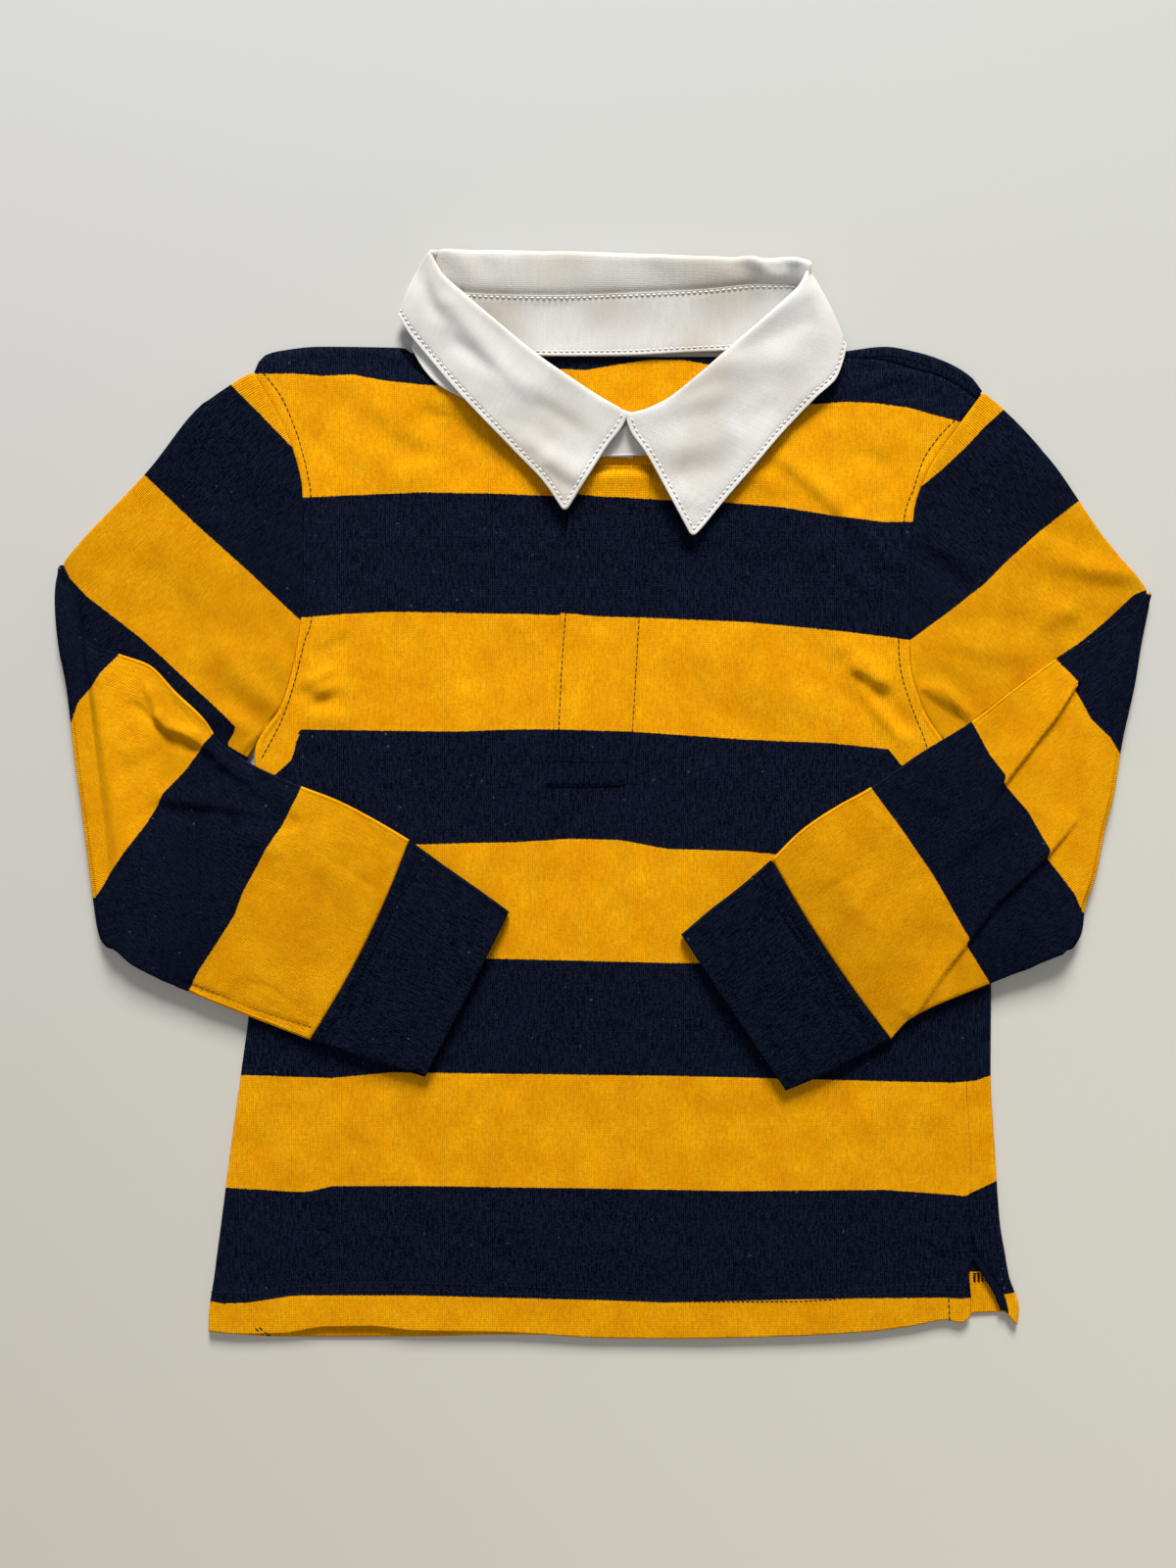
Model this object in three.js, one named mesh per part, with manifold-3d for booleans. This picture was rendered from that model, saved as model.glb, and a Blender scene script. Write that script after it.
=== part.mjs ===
// A child's rugby shirt with long sleeves, laid flat and face up, its forearms folded over the front.
// Millimetres. X runs to the right as it is seen, Y towards the collar, Z up from the surface it lies on.
// "left" and "right" are as seen from above.
import * as THREE from 'three';
import { mergeVertices } from 'three/addons/utils/BufferGeometryUtils.js';
import Module from 'manifold-3d';

const wasm = await Module();
wasm.setup();

// Driving sizes.

const JERSEY = 1.1;            // body and sleeve cloth
const RIB = 1.5;               // cuff cloth, two layers
const TWILL = 1.2;             // collar cloth
const LAYER = 1.1;             // mid-surface of a layer to the middle of a flattened tube
const CUFF_LAYER = 1.25;       // the same in a cuff
const SEAM = 0.3;              // clearance between pieces at a seam
const TUBE_MID = LAYER + JERSEY / 2;      // middle height of a tube that lies on the surface
const BACK_Z = TUBE_MID - LAYER;
const FRONT_Z = TUBE_MID + LAYER;
const FRONT_TOP = FRONT_Z + JERSEY / 2;
const FOLD_RADIUS = 2.35;      // bend of the sleeve's middle at the elbow
const FOREARM_Z = FRONT_TOP + SEAM + TUBE_MID + 0.1;
const CUFF_Z = FRONT_TOP + SEAM + CUFF_LAYER + RIB / 2 + 0.1;

// Plan sizes below are as sighted on the surface from above the middle of the shirt, so a point
// that lies higher is drawn in towards EYE by its height.
const EYE = { x: -6.9, y: 3, height: 517 };

function at(x, y, z) {
  const near = 1 - z / EYE.height;
  return new THREE.Vector3(EYE.x + (x - EYE.x) * near, EYE.y + (y - EYE.y) * near, z);
}

// Body, one row for each station from the hem to the shoulders: both edges, how far the back wraps
// over to the front at the right, the open gap of the side vent there, how closed the side is, and
// how much of the shoulder's or the hem's own line the row takes.
const BODY = [
  { lx: -173.5, ly: -237, rx: 181.5, ry: -232, wrap: 3.5, gap: 17.2, closed: 1, shoulder: 0, hem: 1 },
  { lx: -173, ly: -229, rx: 182, ry: -225, wrap: 6.5, gap: 14.7, closed: 1, shoulder: 0, hem: 0.9 },
  { lx: -171, ly: -212, rx: 177, ry: -209, wrap: 9.5, gap: 6.5, closed: 1, shoulder: 0, hem: 0.6 },
  { lx: -168, ly: -190, rx: 174, ry: -190, wrap: 14, gap: 0, closed: 1, shoulder: 0, hem: 0.3 },
  { lx: -163.5, ly: -155, rx: 171.5, ry: -155, wrap: 11, gap: 0, closed: 1, shoulder: 0, hem: 0.1 },
  { lx: -159, ly: -122, rx: 169.8, ry: -122, wrap: 11, gap: 0, closed: 1, shoulder: 0, hem: 0 },
  { lx: -155, ly: -88, rx: 170, ry: -88, wrap: 12.5, gap: 0, closed: 1, shoulder: 0, hem: 0 },
  { lx: -153.5, ly: -40, rx: 163, ry: -44, wrap: 10, gap: 0, closed: 1, shoulder: 0, hem: 0 },
  { lx: -153, ly: -5, rx: 158, ry: -10, wrap: 6, gap: 0, closed: 1, shoulder: 0, hem: 0 },
  { lx: -153, ly: 17, rx: 155.5, ry: 9.5, wrap: 0, gap: 0, closed: 0, shoulder: 0, hem: 0 },
  { lx: -141, ly: 38.5, rx: 139.5, ry: 37.5, wrap: 0, gap: 0, closed: 0, shoulder: 0, hem: 0 },
  { lx: -135, ly: 61, rx: 134.3, ry: 58, wrap: 0, gap: 0, closed: 0, shoulder: 0, hem: 0 },
  { lx: -132.3, ly: 82, rx: 134, ry: 80, wrap: 0, gap: 0, closed: 0, shoulder: 0.05, hem: 0 },
  { lx: -132, ly: 106, rx: 134.5, ry: 102, wrap: 0, gap: 0, closed: 0, shoulder: 0.15, hem: 0 },
  { lx: -132, ly: 129, rx: 136, ry: 122, wrap: 0, gap: 0, closed: 0, shoulder: 0.35, hem: 0 },
  { lx: -136.5, ly: 150.5, rx: 142.5, ry: 141, wrap: 0, gap: 0, closed: 0, shoulder: 0.6, hem: 0 },
  { lx: -144.5, ly: 168, rx: 154, ry: 158, wrap: 0, gap: 0, closed: 0, shoulder: 0.82, hem: 0 },
  { lx: -153.5, ly: 183.5, rx: 166.5, ry: 175, wrap: 0, gap: 0, closed: 0, shoulder: 1, hem: 0 },
];

// Height of the shoulder line over the straight line between the shoulder tips.
const SHOULDER = [
  { x: -153.5, y: 183.5, over: 1 },
  { x: -150, y: 190.5, over: 1 },
  { x: -143, y: 193, over: 1 },
  { x: -124.5, y: 195, over: 1 },
  { x: -89, y: 194.5, over: 1 },
  { x: -84, y: 193.5, over: 0 },
  { x: 8, y: 192, over: 0 },
  { x: 100, y: 192.5, over: 0 },
  { x: 106, y: 193, over: 2.5 },
  { x: 123.5, y: 195, over: 5.5 },
  { x: 138, y: 192.5, over: 6.5 },
  { x: 150, y: 188.5, over: 6 },
  { x: 161, y: 182, over: 5.5 },
  { x: 166.5, y: 175, over: 4 },
];

const HEM = [
  { x: -173.5, y: -237 },
  { x: -141, y: -238.5 },
  { x: -103, y: -236 },
  { x: -46.5, y: -238 },
  { x: 31, y: -240 },
  { x: 113, y: -237.5 },
  { x: 151.5, y: -232.5 },
  { x: 181.5, y: -232 },
];

// Front neckline, under the stand of the collar; at the back the shoulder line is the neckline.
const NECK_FRONT = [
  { x: -91, y: 198 },
  { x: -88, y: 191 },
  { x: -83, y: 185 },
  { x: -73, y: 179.5 },
  { x: -52, y: 172 },
  { x: -28, y: 161 },
  { x: -8, y: 152.5 },
  { x: 8, y: 149 },
  { x: 24, y: 152.5 },
  { x: 46, y: 162 },
  { x: 68, y: 171.5 },
  { x: 90, y: 180.5 },
  { x: 101, y: 186 },
  { x: 107, y: 198 },
];

// Armhole seams from the shoulder tip to the underarm.
const ARMHOLE_LEFT = [
  { x: -153.5, y: 183.5 },
  { x: -144.5, y: 168 },
  { x: -136.5, y: 150.5 },
  { x: -132, y: 129 },
  { x: -132, y: 106 },
  { x: -132.3, y: 82 },
  { x: -135, y: 61 },
  { x: -141, y: 38.5 },
  { x: -153, y: 17 },
];
const ARMHOLE_RIGHT = [
  { x: 166.5, y: 175 },
  { x: 154, y: 158 },
  { x: 142.5, y: 141 },
  { x: 136, y: 122 },
  { x: 134.5, y: 102 },
  { x: 134, y: 80 },
  { x: 134.3, y: 58 },
  { x: 139.5, y: 37.5 },
  { x: 155.5, y: 9.5 },
];

// Elbow folds, the edge as it is seen, from the top of the sleeve to the underarm side.
const ELBOW_LEFT = [
  { x: -239.5, y: 99 },
  { x: -240.5, y: 84.5 },
  { x: -239, y: 64.5 },
  { x: -235.5, y: 45 },
  { x: -232, y: 13 },
  { x: -227, y: -25 },
  { x: -222, y: -60 },
  { x: -218, y: -69 },
];
const ELBOW_RIGHT = [
  { x: 241, y: 87.5 },
  { x: 237, y: 68 },
  { x: 233, y: 46 },
  { x: 229, y: 26 },
  { x: 224, y: -1.5 },
  { x: 216, y: -35 },
  { x: 210, y: -56 },
  { x: 206, y: -69 },
];

// Forearms, one row for each cross line from the elbow to the cuff seam: its end at the upper edge,
// its end at the lower edge, the bow of the line towards the cuff and the height of its middle.
const FOREARM_LEFT = [
  { ax: -230.5, ay: 84, bx: -212, by: -71, bow: 1, rise: 1.0 },
  { ax: -215, ay: 60.5, bx: -206.5, by: -76, bow: 2, rise: 0.7 },
  { ax: -196, ay: 52, bx: -200, by: -80, bow: 3, rise: 0.5 },
  { ax: -176, ay: 31, bx: -192.5, by: -84, bow: 3, rise: 0.3 },
  { ax: -158.5, ay: 13, bx: -188, by: -86, bow: 3, rise: 0 },
  { ax: -132.5, ay: 2, bx: -182.5, by: -88, bow: 3, rise: 0 },
  { ax: -112, ay: -7, bx: -163, by: -96, bow: 3, rise: 0 },
  { ax: -97, ay: -14.5, bx: -144, by: -103, bow: 3, rise: 0 },
  { ax: -85.5, ay: -21.5, bx: -129, by: -109, bow: 3, rise: 0 },
];
const FOREARM_RIGHT = [
  { ax: 232, ay: 78, bx: 201, by: -72, bow: 1, rise: 1.0 },
  { ax: 219, ay: 70, bx: 196, by: -74, bow: 2, rise: 0.8 },
  { ax: 203, ay: 60, bx: 191, by: -76, bow: 2, rise: 0.6 },
  { ax: 184, ay: 47, bx: 184.5, by: -79, bow: 2, rise: 0.4 },
  { ax: 161, ay: 30, bx: 177, by: -82, bow: 2, rise: 0.2 },
  { ax: 139, ay: 16, bx: 169.5, by: -84.5, bow: 2, rise: 0 },
  { ax: 117, ay: 1.5, bx: 158, by: -89, bow: 2, rise: 0 },
  { ax: 101, ay: -7.5, bx: 144, by: -95, bow: 2, rise: 0 },
  { ax: 86.5, ay: -17.5, bx: 133.5, by: -101, bow: 2, rise: 0 },
  { ax: 74, ay: -30, bx: 126, by: -109, bow: 2, rise: 0 },
];
const CUFF_LEFT = [
  { ax: -85.2, ay: -21.7, bx: -128.7, by: -109.2, bow: 3 },
  { ax: -71, ay: -32, bx: -112.5, by: -114.5, bow: 2 },
  { ax: -56, ay: -42.5, bx: -95.5, by: -119.5, bow: 1 },
  { ax: -41.5, ay: -53, bx: -78.5, by: -124.5, bow: 0 },
];
const CUFF_RIGHT = [
  { ax: 73.6, ay: -30.3, bx: 125.6, by: -109.3, bow: 2 },
  { ax: 60.5, ay: -41.5, bx: 110.5, by: -117, bow: 1.5 },
  { ax: 47, ay: -52, bx: 95.5, by: -124.5, bow: 0.5 },
  { ax: 34, ay: -63, bx: 80, by: -131.5, bow: 0 },
];

// Knife folds and creases that stand on a forearm: a ridge from a to b, which rises slowly on its
// upper left and drops steeply on its lower right.
const FOLDS_RIGHT = [
  { ax: 208, ay: 47, bx: 176, by: 6, slope: 13, drop: 2.5, height: 1.5 },
  { ax: 218, ay: 6, bx: 188, by: -32, slope: 14, drop: 2.5, height: 1.2 },
  { ax: 188, ay: -32, bx: 137, by: -97, slope: 16, drop: 2.5, height: 1.6 },
];
const FOLDS_LEFT = [
  { ax: -205, ay: 48, bx: -172, by: 20, slope: 7, drop: 4, height: 1.5 },
  { ax: -182, ay: 19, bx: -150, by: 1, slope: 6, drop: 5, height: 1.0 },
];

// Collar, one row for each station from the left front round the back to the right front: the edge
// sewn to the neck, the seam of stand and fall, the roll, and the free edge of the fall.
const COLLAR = [
  {
    nx: 6.5, ny: 146, sx: 8.5, sy: 160.5, nz: 4.6, sz: 7.6,
    rx: 9, ry: 167, ex: -17, ey: 124, rz: 9.8, ez: 6.8,
  },
  {
    nx: -12, ny: 149, sx: -7, sy: 165, nz: 4.6, sz: 8,
    rx: -3, ry: 174, ex: -27, ey: 136, rz: 10.6, ez: 6.4,
  },
  {
    nx: -30, ny: 157, sx: -22, sy: 176, nz: 4.6, sz: 8.2,
    rx: -16, ry: 182.5, ex: -38, ey: 147.5, rz: 11.2, ez: 6.5,
  },
  {
    nx: -46, ny: 164.5, sx: -36, sy: 187, nz: 4.6, sz: 8.4,
    rx: -29.5, ry: 192, ex: -52, ey: 162, rz: 11.6, ez: 6.7,
  },
  {
    nx: -60, ny: 171.5, sx: -51, sy: 198, nz: 4.6, sz: 8.6,
    rx: -44, ry: 204, ex: -64, ey: 175, rz: 11.9, ez: 6.7,
  },
  {
    nx: -73, ny: 178.5, sx: -66, sy: 209, nz: 4.6, sz: 8.4,
    rx: -60, ry: 217.5, ex: -76, ey: 189, rz: 12, ez: 6.7,
  },
  {
    nx: -82, ny: 185.5, sx: -77, sy: 217, nz: 4.3, sz: 8,
    rx: -71.5, ry: 228.5, ex: -85, ey: 200.5, rz: 12, ez: 6.7,
  },
  {
    nx: -85.5, ny: 193.5, sx: -78, sy: 221, nz: 3.4, sz: 6.8,
    rx: -76, ry: 237.5, ex: -89.5, ey: 208, rz: 11, ez: 4,
  },
  {
    nx: -76, ny: 193, sx: -70, sy: 219.5, nz: 2.25, sz: 6,
    rx: -66, ry: 238.3, ex: -80, ey: 204, rz: 10, ez: 0.6,
  },
  {
    nx: -53, ny: 191.5, sx: -49, sy: 218, nz: 2.25, sz: 6,
    rx: -47, ry: 238, ex: -54, ey: 202, rz: 9.5, ez: 0.6,
  },
  {
    nx: -22, ny: 190.8, sx: -20, sy: 217.5, nz: 2.25, sz: 6,
    rx: -20, ry: 237.3, ex: -20, ey: 201, rz: 9.2, ez: 0.6,
  },
  {
    nx: 8, ny: 191, sx: 10, sy: 218.5, nz: 2.25, sz: 6,
    rx: 10, ry: 236.3, ex: 10, ey: 200, rz: 9.2, ez: 0.6,
  },
  {
    nx: 40, ny: 192.5, sx: 41, sy: 220, nz: 2.25, sz: 6,
    rx: 41, ry: 235.3, ex: 42, ey: 200, rz: 9.5, ez: 0.6,
  },
  {
    nx: 70, ny: 193.5, sx: 68, sy: 222.5, nz: 2.25, sz: 6,
    rx: 66, ry: 235, ex: 72, ey: 200, rz: 10, ez: 0.6,
  },
  {
    nx: 93, ny: 193.5, sx: 80.5, sy: 222.5, nz: 2.25, sz: 6,
    rx: 82, ry: 234.5, ex: 97, ey: 199, rz: 10.6, ez: 0.6,
  },
  {
    nx: 100.5, ny: 192.5, sx: 89, sy: 219, nz: 3.4, sz: 6.8,
    rx: 90.5, ry: 233, ex: 106, ey: 195, rz: 11, ez: 4,
  },
  {
    nx: 97, ny: 184.5, sx: 90.5, sy: 212, nz: 4.3, sz: 8,
    rx: 86.5, ry: 223.5, ex: 102, ey: 181.5, rz: 12, ez: 6.7,
  },
  {
    nx: 86, ny: 178, sx: 79.5, sy: 204, nz: 4.6, sz: 8.4,
    rx: 74.5, ry: 211.5, ex: 92, ey: 171.5, rz: 12, ez: 6.7,
  },
  {
    nx: 72, ny: 171, sx: 63.5, sy: 190, nz: 4.6, sz: 8.6,
    rx: 57.5, ry: 197, ex: 79, ey: 158, rz: 11.9, ez: 6.7,
  },
  {
    nx: 56, ny: 163.5, sx: 47.5, sy: 178.5, nz: 4.6, sz: 8.4,
    rx: 41, ry: 182.5, ex: 66, ey: 142.5, rz: 11.6, ez: 6.6,
  },
  {
    nx: 38, ny: 155, sx: 32.5, sy: 168, nz: 4.6, sz: 8.2,
    rx: 26, ry: 171, ex: 53, ey: 127.5, rz: 11.2, ez: 6.4,
  },
  {
    nx: 22.5, ny: 148.5, sx: 19.5, sy: 161.5, nz: 4.6, sz: 8,
    rx: 16, ry: 166.5, ex: 43, ey: 116, rz: 10.6, ez: 6.8,
  },
  {
    nx: 8.5, ny: 146, sx: 10, sy: 159.5, nz: 4.6, sz: 7.6,
    rx: 11, ry: 165, ex: 38.5, ey: 112.5, rz: 9.8, ez: 7,
  },
];

// Placket on the front, from under the collar to its foot: both edges.
const PLACKET = [
  { y: 143, lx: -14, rx: 21 },
  { y: 102.5, lx: -17, rx: 18 },
  { y: 77.5, lx: -19, rx: 15.5 },
  { y: 53, lx: -20.5, rx: 14 },
  { y: 27, lx: -22, rx: 12.5 },
  { y: 3, lx: -26, rx: 10.5 },
];

// Tape on the back's edge at the right side vent: the station of the body it lies at, and its width.
const VENT_TAPE = [
  { at: 0.15, width: 3.6 },
  { at: 0.6, width: 4 },
  { at: 1, width: 4 },
  { at: 1.5, width: 3.4 },
  { at: 2, width: 2.4 },
  { at: 2.3, width: 1.6 },
];

// Tools.

const mix = THREE.MathUtils.lerp;

function tableValue(rows, key, where, name) {
  let i = 0;
  while (i < rows.length - 2 && where > rows[i + 1][key]) i += 1;
  const a = rows[i];
  const b = rows[i + 1];
  const t = THREE.MathUtils.clamp((where - a[key]) / (b[key] - a[key]), 0, 1);
  return mix(a[name], b[name], t);
}

// A point at the fraction q of the length of a plan line.
function along(rows, q) {
  const lengths = [0];
  for (let i = 1; i < rows.length; i += 1) {
    const step = Math.hypot(rows[i].x - rows[i - 1].x, rows[i].y - rows[i - 1].y);
    lengths.push(lengths[i - 1] + step);
  }
  const want = q * lengths[lengths.length - 1];
  let i = 1;
  while (i < rows.length - 1 && lengths[i] < want) i += 1;
  const t = (want - lengths[i - 1]) / (lengths[i] - lengths[i - 1]);
  return { x: mix(rows[i - 1].x, rows[i].x, t), y: mix(rows[i - 1].y, rows[i].y, t) };
}

function normalsOf(grid, closed) {
  const rows = grid.length;
  const cols = grid[0].length;
  return grid.map((row, i) => row.map((p, j) => {
    const up = grid[Math.min(i + 1, rows - 1)][j];
    const down = grid[Math.max(i - 1, 0)][j];
    const next = closed ? row[(j + 1) % cols] : row[Math.min(j + 1, cols - 1)];
    const last = closed ? row[(j + cols - 1) % cols] : row[Math.max(j - 1, 0)];
    const along = new THREE.Vector3().subVectors(up, down);
    const across = new THREE.Vector3().subVectors(next, last);
    return across.cross(along).normalize();
  }));
}

// A wall of the given thickness on a grid of mid-surface points; closed joins each row to a ring.
function wall(grid, thickness, closed = false) {
  const rows = grid.length;
  const cols = grid[0].length;
  const normals = normalsOf(grid, closed);
  const points = [];
  for (const side of [0.5, -0.5]) {
    grid.forEach((row, i) => row.forEach((p, j) => {
      points.push(p.clone().addScaledVector(normals[i][j], side * thickness));
    }));
  }
  const under = rows * cols;
  const faces = [];
  const quad = (a, b, c, d) => faces.push([a, b, c], [a, c, d]);
  const spans = closed ? cols : cols - 1;
  for (let i = 0; i < rows - 1; i += 1) {
    for (let j = 0; j < spans; j += 1) {
      const a = i * cols + j;
      const b = i * cols + ((j + 1) % cols);
      quad(a, b, b + cols, a + cols);
      quad(under + a, under + a + cols, under + b + cols, under + b);
    }
  }
  for (let j = 0; j < spans; j += 1) {
    const k = (j + 1) % cols;
    const top = (rows - 1) * cols;
    quad(j, under + j, under + k, k);
    quad(top + j, top + k, under + top + k, under + top + j);
  }
  if (!closed) {
    for (let i = 0; i < rows - 1; i += 1) {
      const a = i * cols;
      const b = a + cols - 1;
      quad(a, a + cols, under + a + cols, under + a);
      quad(b, under + b, under + b + cols, b + cols);
    }
  }
  return geometry(points, faces);
}

function geometry(points, faces) {
  const shape = new THREE.BufferGeometry();
  const places = points.flatMap((p) => [p.x, p.y, p.z]);
  shape.setAttribute('position', new THREE.Float32BufferAttribute(places, 3));
  shape.setIndex(faces.flat());
  return shape;
}

function toSolid(shape) {
  const bare = shape.clone();
  bare.deleteAttribute('normal');
  bare.deleteAttribute('uv');
  const merged = mergeVertices(bare, 1e-5);
  const solid = new wasm.Manifold(new wasm.Mesh({
    numProp: 3,
    vertProperties: new Float32Array(merged.attributes.position.array),
    triVerts: new Uint32Array(merged.index.array),
  }));
  return solid.volume() < 0 ? flipped(merged) : solid;
}

function flipped(merged) {
  const tri = Array.from(merged.index.array);
  for (let i = 0; i < tri.length; i += 3) {
    [tri[i + 1], tri[i + 2]] = [tri[i + 2], tri[i + 1]];
  }
  return new wasm.Manifold(new wasm.Mesh({
    numProp: 3,
    vertProperties: new Float32Array(merged.attributes.position.array),
    triVerts: new Uint32Array(tri),
  }));
}

function fromSolid(solid) {
  const mesh = solid.getMesh();
  const shape = new THREE.BufferGeometry();
  shape.setAttribute('position', new THREE.Float32BufferAttribute(mesh.vertProperties, 3));
  shape.setIndex(new THREE.Uint32BufferAttribute(mesh.triVerts, 1));
  return shape;
}

// An upright cutter through all heights, over a closed plan outline.
function cutter(outline) {
  const shape = new THREE.Shape(outline.map((p) => new THREE.Vector2(p.x, p.y)));
  const block = new THREE.ExtrudeGeometry(shape, { depth: 60, bevelEnabled: false });
  block.translate(0, 0, -20);
  return toSolid(block);
}

// Body.

const COLUMNS = [0.03, 0.08, 0.16, 0.25, 0.34, 0.42, 0.5, 0.58, 0.66, 0.75, 0.84, 0.92, 0.97];

function bodyLine(row, x) {
  const first = BODY[0];
  const last = BODY[BODY.length - 1];
  const across = (x - row.lx) / (row.rx - row.lx);
  const straight = mix(row.ly, row.ry, across);
  const share = THREE.MathUtils.clamp(across, 0, 1);
  const hemX = mix(first.lx, first.rx, share);
  const topX = mix(last.lx, last.rx, share);
  const hem = tableValue(HEM, 'x', hemX, 'y') - mix(first.ly, first.ry, share);
  const top = tableValue(SHOULDER, 'x', topX, 'y') - mix(last.ly, last.ry, share);
  return straight + row.hem * hem + row.shoulder * top;
}

// The side of a panel: how far in from the silhouette, and its height between the two layers.
const SIDE = [
  { inset: 5, turn: 1 },
  { inset: 1.5, turn: 0.85 },
  { inset: 0.6, turn: 0.42 },
];

const TOP = BODY.length - 1;
const LAST_ROW = Math.hypot(BODY[TOP].lx - BODY[TOP - 1].lx, BODY[TOP].ly - BODY[TOP - 1].ly);

function station(t) {
  const i = Math.min(Math.floor(t), TOP - 1);
  const row = {};
  for (const name of Object.keys(BODY[i])) row[name] = mix(BODY[i][name], BODY[i + 1][name], t - i);
  return row;
}

// Columns of a panel as functions of its station: the plan place, and the turn from the back's
// layer, -1, to the front's, 1.
function leftSide(row, layer) {
  return [...SIDE].reverse().map((side) => ({
    x: row.lx + mix(0.2 + side.inset * 0.4, side.inset, row.closed),
    turn: layer * mix(1, side.turn, row.closed),
  }));
}

function frontColumns(row) {
  const end = row.rx - Math.max(row.wrap, 0.6 * row.closed) - row.gap - SEAM / 2;
  const middle = COLUMNS.map((share) => ({ x: mix(row.lx + 9, end - 3, share), turn: 1 }));
  return [...leftSide(row, 1), ...middle, { x: end, turn: 1 }];
}

function backColumns(row) {
  const full = row.wrap >= 3;
  const edge = (inset) => row.rx - mix(0.2 + inset * 0.2, inset, row.closed);
  const side = (turn) => mix(-1, turn, row.closed);
  const middle = COLUMNS.map((share) => ({ x: mix(row.lx + 9, row.rx - 12, share), turn: -1 }));
  return [
    ...leftSide(row, -1),
    ...middle,
    { x: edge(4.5), turn: -1 },
    { x: edge(1.5), turn: side(-0.85) },
    { x: edge(0.55), turn: full ? 0 : side(-0.42) },
    { x: full ? edge(1.5) : edge(0.5), turn: full ? 0.85 : side(-0.3) },
    { x: full ? edge(2.6) : edge(0.45), turn: full ? 1 : side(-0.2) },
    { x: full ? row.rx - row.wrap + SEAM / 2 : edge(0.4), turn: full ? 1 : side(-0.1) },
  ];
}

function bodyRow(columns, t) {
  const row = station(t);
  return columns(row).map((p) => at(p.x, bodyLine(row, p.x), TUBE_MID + LAYER * p.turn));
}

// A row near the shoulder line: back(over) says how far below that line each column lies, and
// lift(over, z) gives its height.
function shoulderRow(columns, back, lift) {
  return columns(BODY[TOP]).map((top, j) => {
    const over = tableValue(SHOULDER, 'x', top.x, 'over');
    const row = station(TOP - back(over) / LAST_ROW);
    const p = columns(row)[j];
    return at(p.x, bodyLine(row, p.x), lift(over, TUBE_MID + LAYER * p.turn));
  });
}

function frontGrid() {
  const rows = [];
  for (let i = 0; i < TOP; i += 1) rows.push(bodyRow(frontColumns, i));
  const depth = (over) => Math.max(over + (over > 1 ? SEAM : 0), over > 0 ? 0.7 : 0);
  rows.push(shoulderRow(frontColumns, (over) => depth(over) + 2.4, (over, z) => z));
  const rounded = (over, z) => (over > 0 && over <= 1 ? mix(z, TUBE_MID, 0.5) : z);
  rows.push(shoulderRow(frontColumns, depth, rounded));
  return rows;
}

function backGrid() {
  const rows = [];
  for (let i = 0; i < TOP; i += 1) rows.push(bodyRow(backColumns, i));
  const rise = (share) => (over, z) => (over > 0 ? mix(z, FRONT_Z, share) : z);
  rows.push(shoulderRow(backColumns, () => 9, (over, z) => z));
  rows.push(shoulderRow(backColumns, () => 3.5, (over, z) => z));
  rows.push(shoulderRow(backColumns, () => 1.4, rise(0.1)));
  rows.push(shoulderRow(backColumns, (over) => (over > 0 ? 0.65 : 1.1), rise(0.34)));
  rows.push(shoulderRow(backColumns, (over) => (over > 1 ? 1.3 : 0.6), (over, z) => (
    over > 1 ? FRONT_Z - 0.1 : rise(0.38)(over, z))));
  const reach = (over) => (over > 1 ? Math.max(over - 3 * SEAM, 2) : 0.5);
  rows.push(shoulderRow(backColumns, reach, (over, z) => (over > 1 ? FRONT_Z : rise(0.4)(over, z))));
  return rows;
}

function neckCutter(line) {
  const outline = line.map((p) => at(p.x, p.y, FRONT_Z));
  const high = Math.max(...outline.map((p) => p.y)) + 30;
  outline.push({ x: outline[outline.length - 1].x, y: high });
  outline.push({ x: outline[0].x, y: high });
  return cutter(outline);
}

const frontPanel = fromSolid(toSolid(wall(frontGrid(), JERSEY)).subtract(neckCutter(NECK_FRONT)));

// Sleeves and cuffs.

// A flattened tube's ring: along the line from a to b, bowed, and round it at the layer height.
function ring({ a: first, b: last, bow, normal, half, thickness, columns, relief }) {
  const dir = new THREE.Vector3().subVectors(last, first).normalize();
  const a = first.clone().addScaledVector(dir, thickness / 2);
  const b = last.clone().addScaledVector(dir, -thickness / 2);
  const length = a.distanceTo(b);
  const side = new THREE.Vector3().crossVectors(dir, normal);
  const point = (q, offset) => {
    const lift = 4 * bow * q * (1 - q);
    const p = a.clone().addScaledVector(dir, q * length).addScaledVector(side, lift);
    return p.addScaledVector(normal, offset);
  };
  const cap = half / length;
  const points = [];
  points.push(point(cap * 0.25, -half * 0.7));
  points.push(point(0, 0));
  points.push(point(cap * 0.25, half * 0.7));
  for (const q of columns) points.push(point(mix(cap, 1 - cap, q), half));
  points.push(point(1 - cap * 0.25, half * 0.7));
  points.push(point(1, 0));
  points.push(point(1 - cap * 0.25, -half * 0.7));
  for (const q of [...columns].reverse()) points.push(point(mix(cap, 1 - cap, q), -half));
  if (relief) {
    for (const p of points) if (p.z > relief.above) p.z += relief.height(p);
  }
  return points;
}

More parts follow.
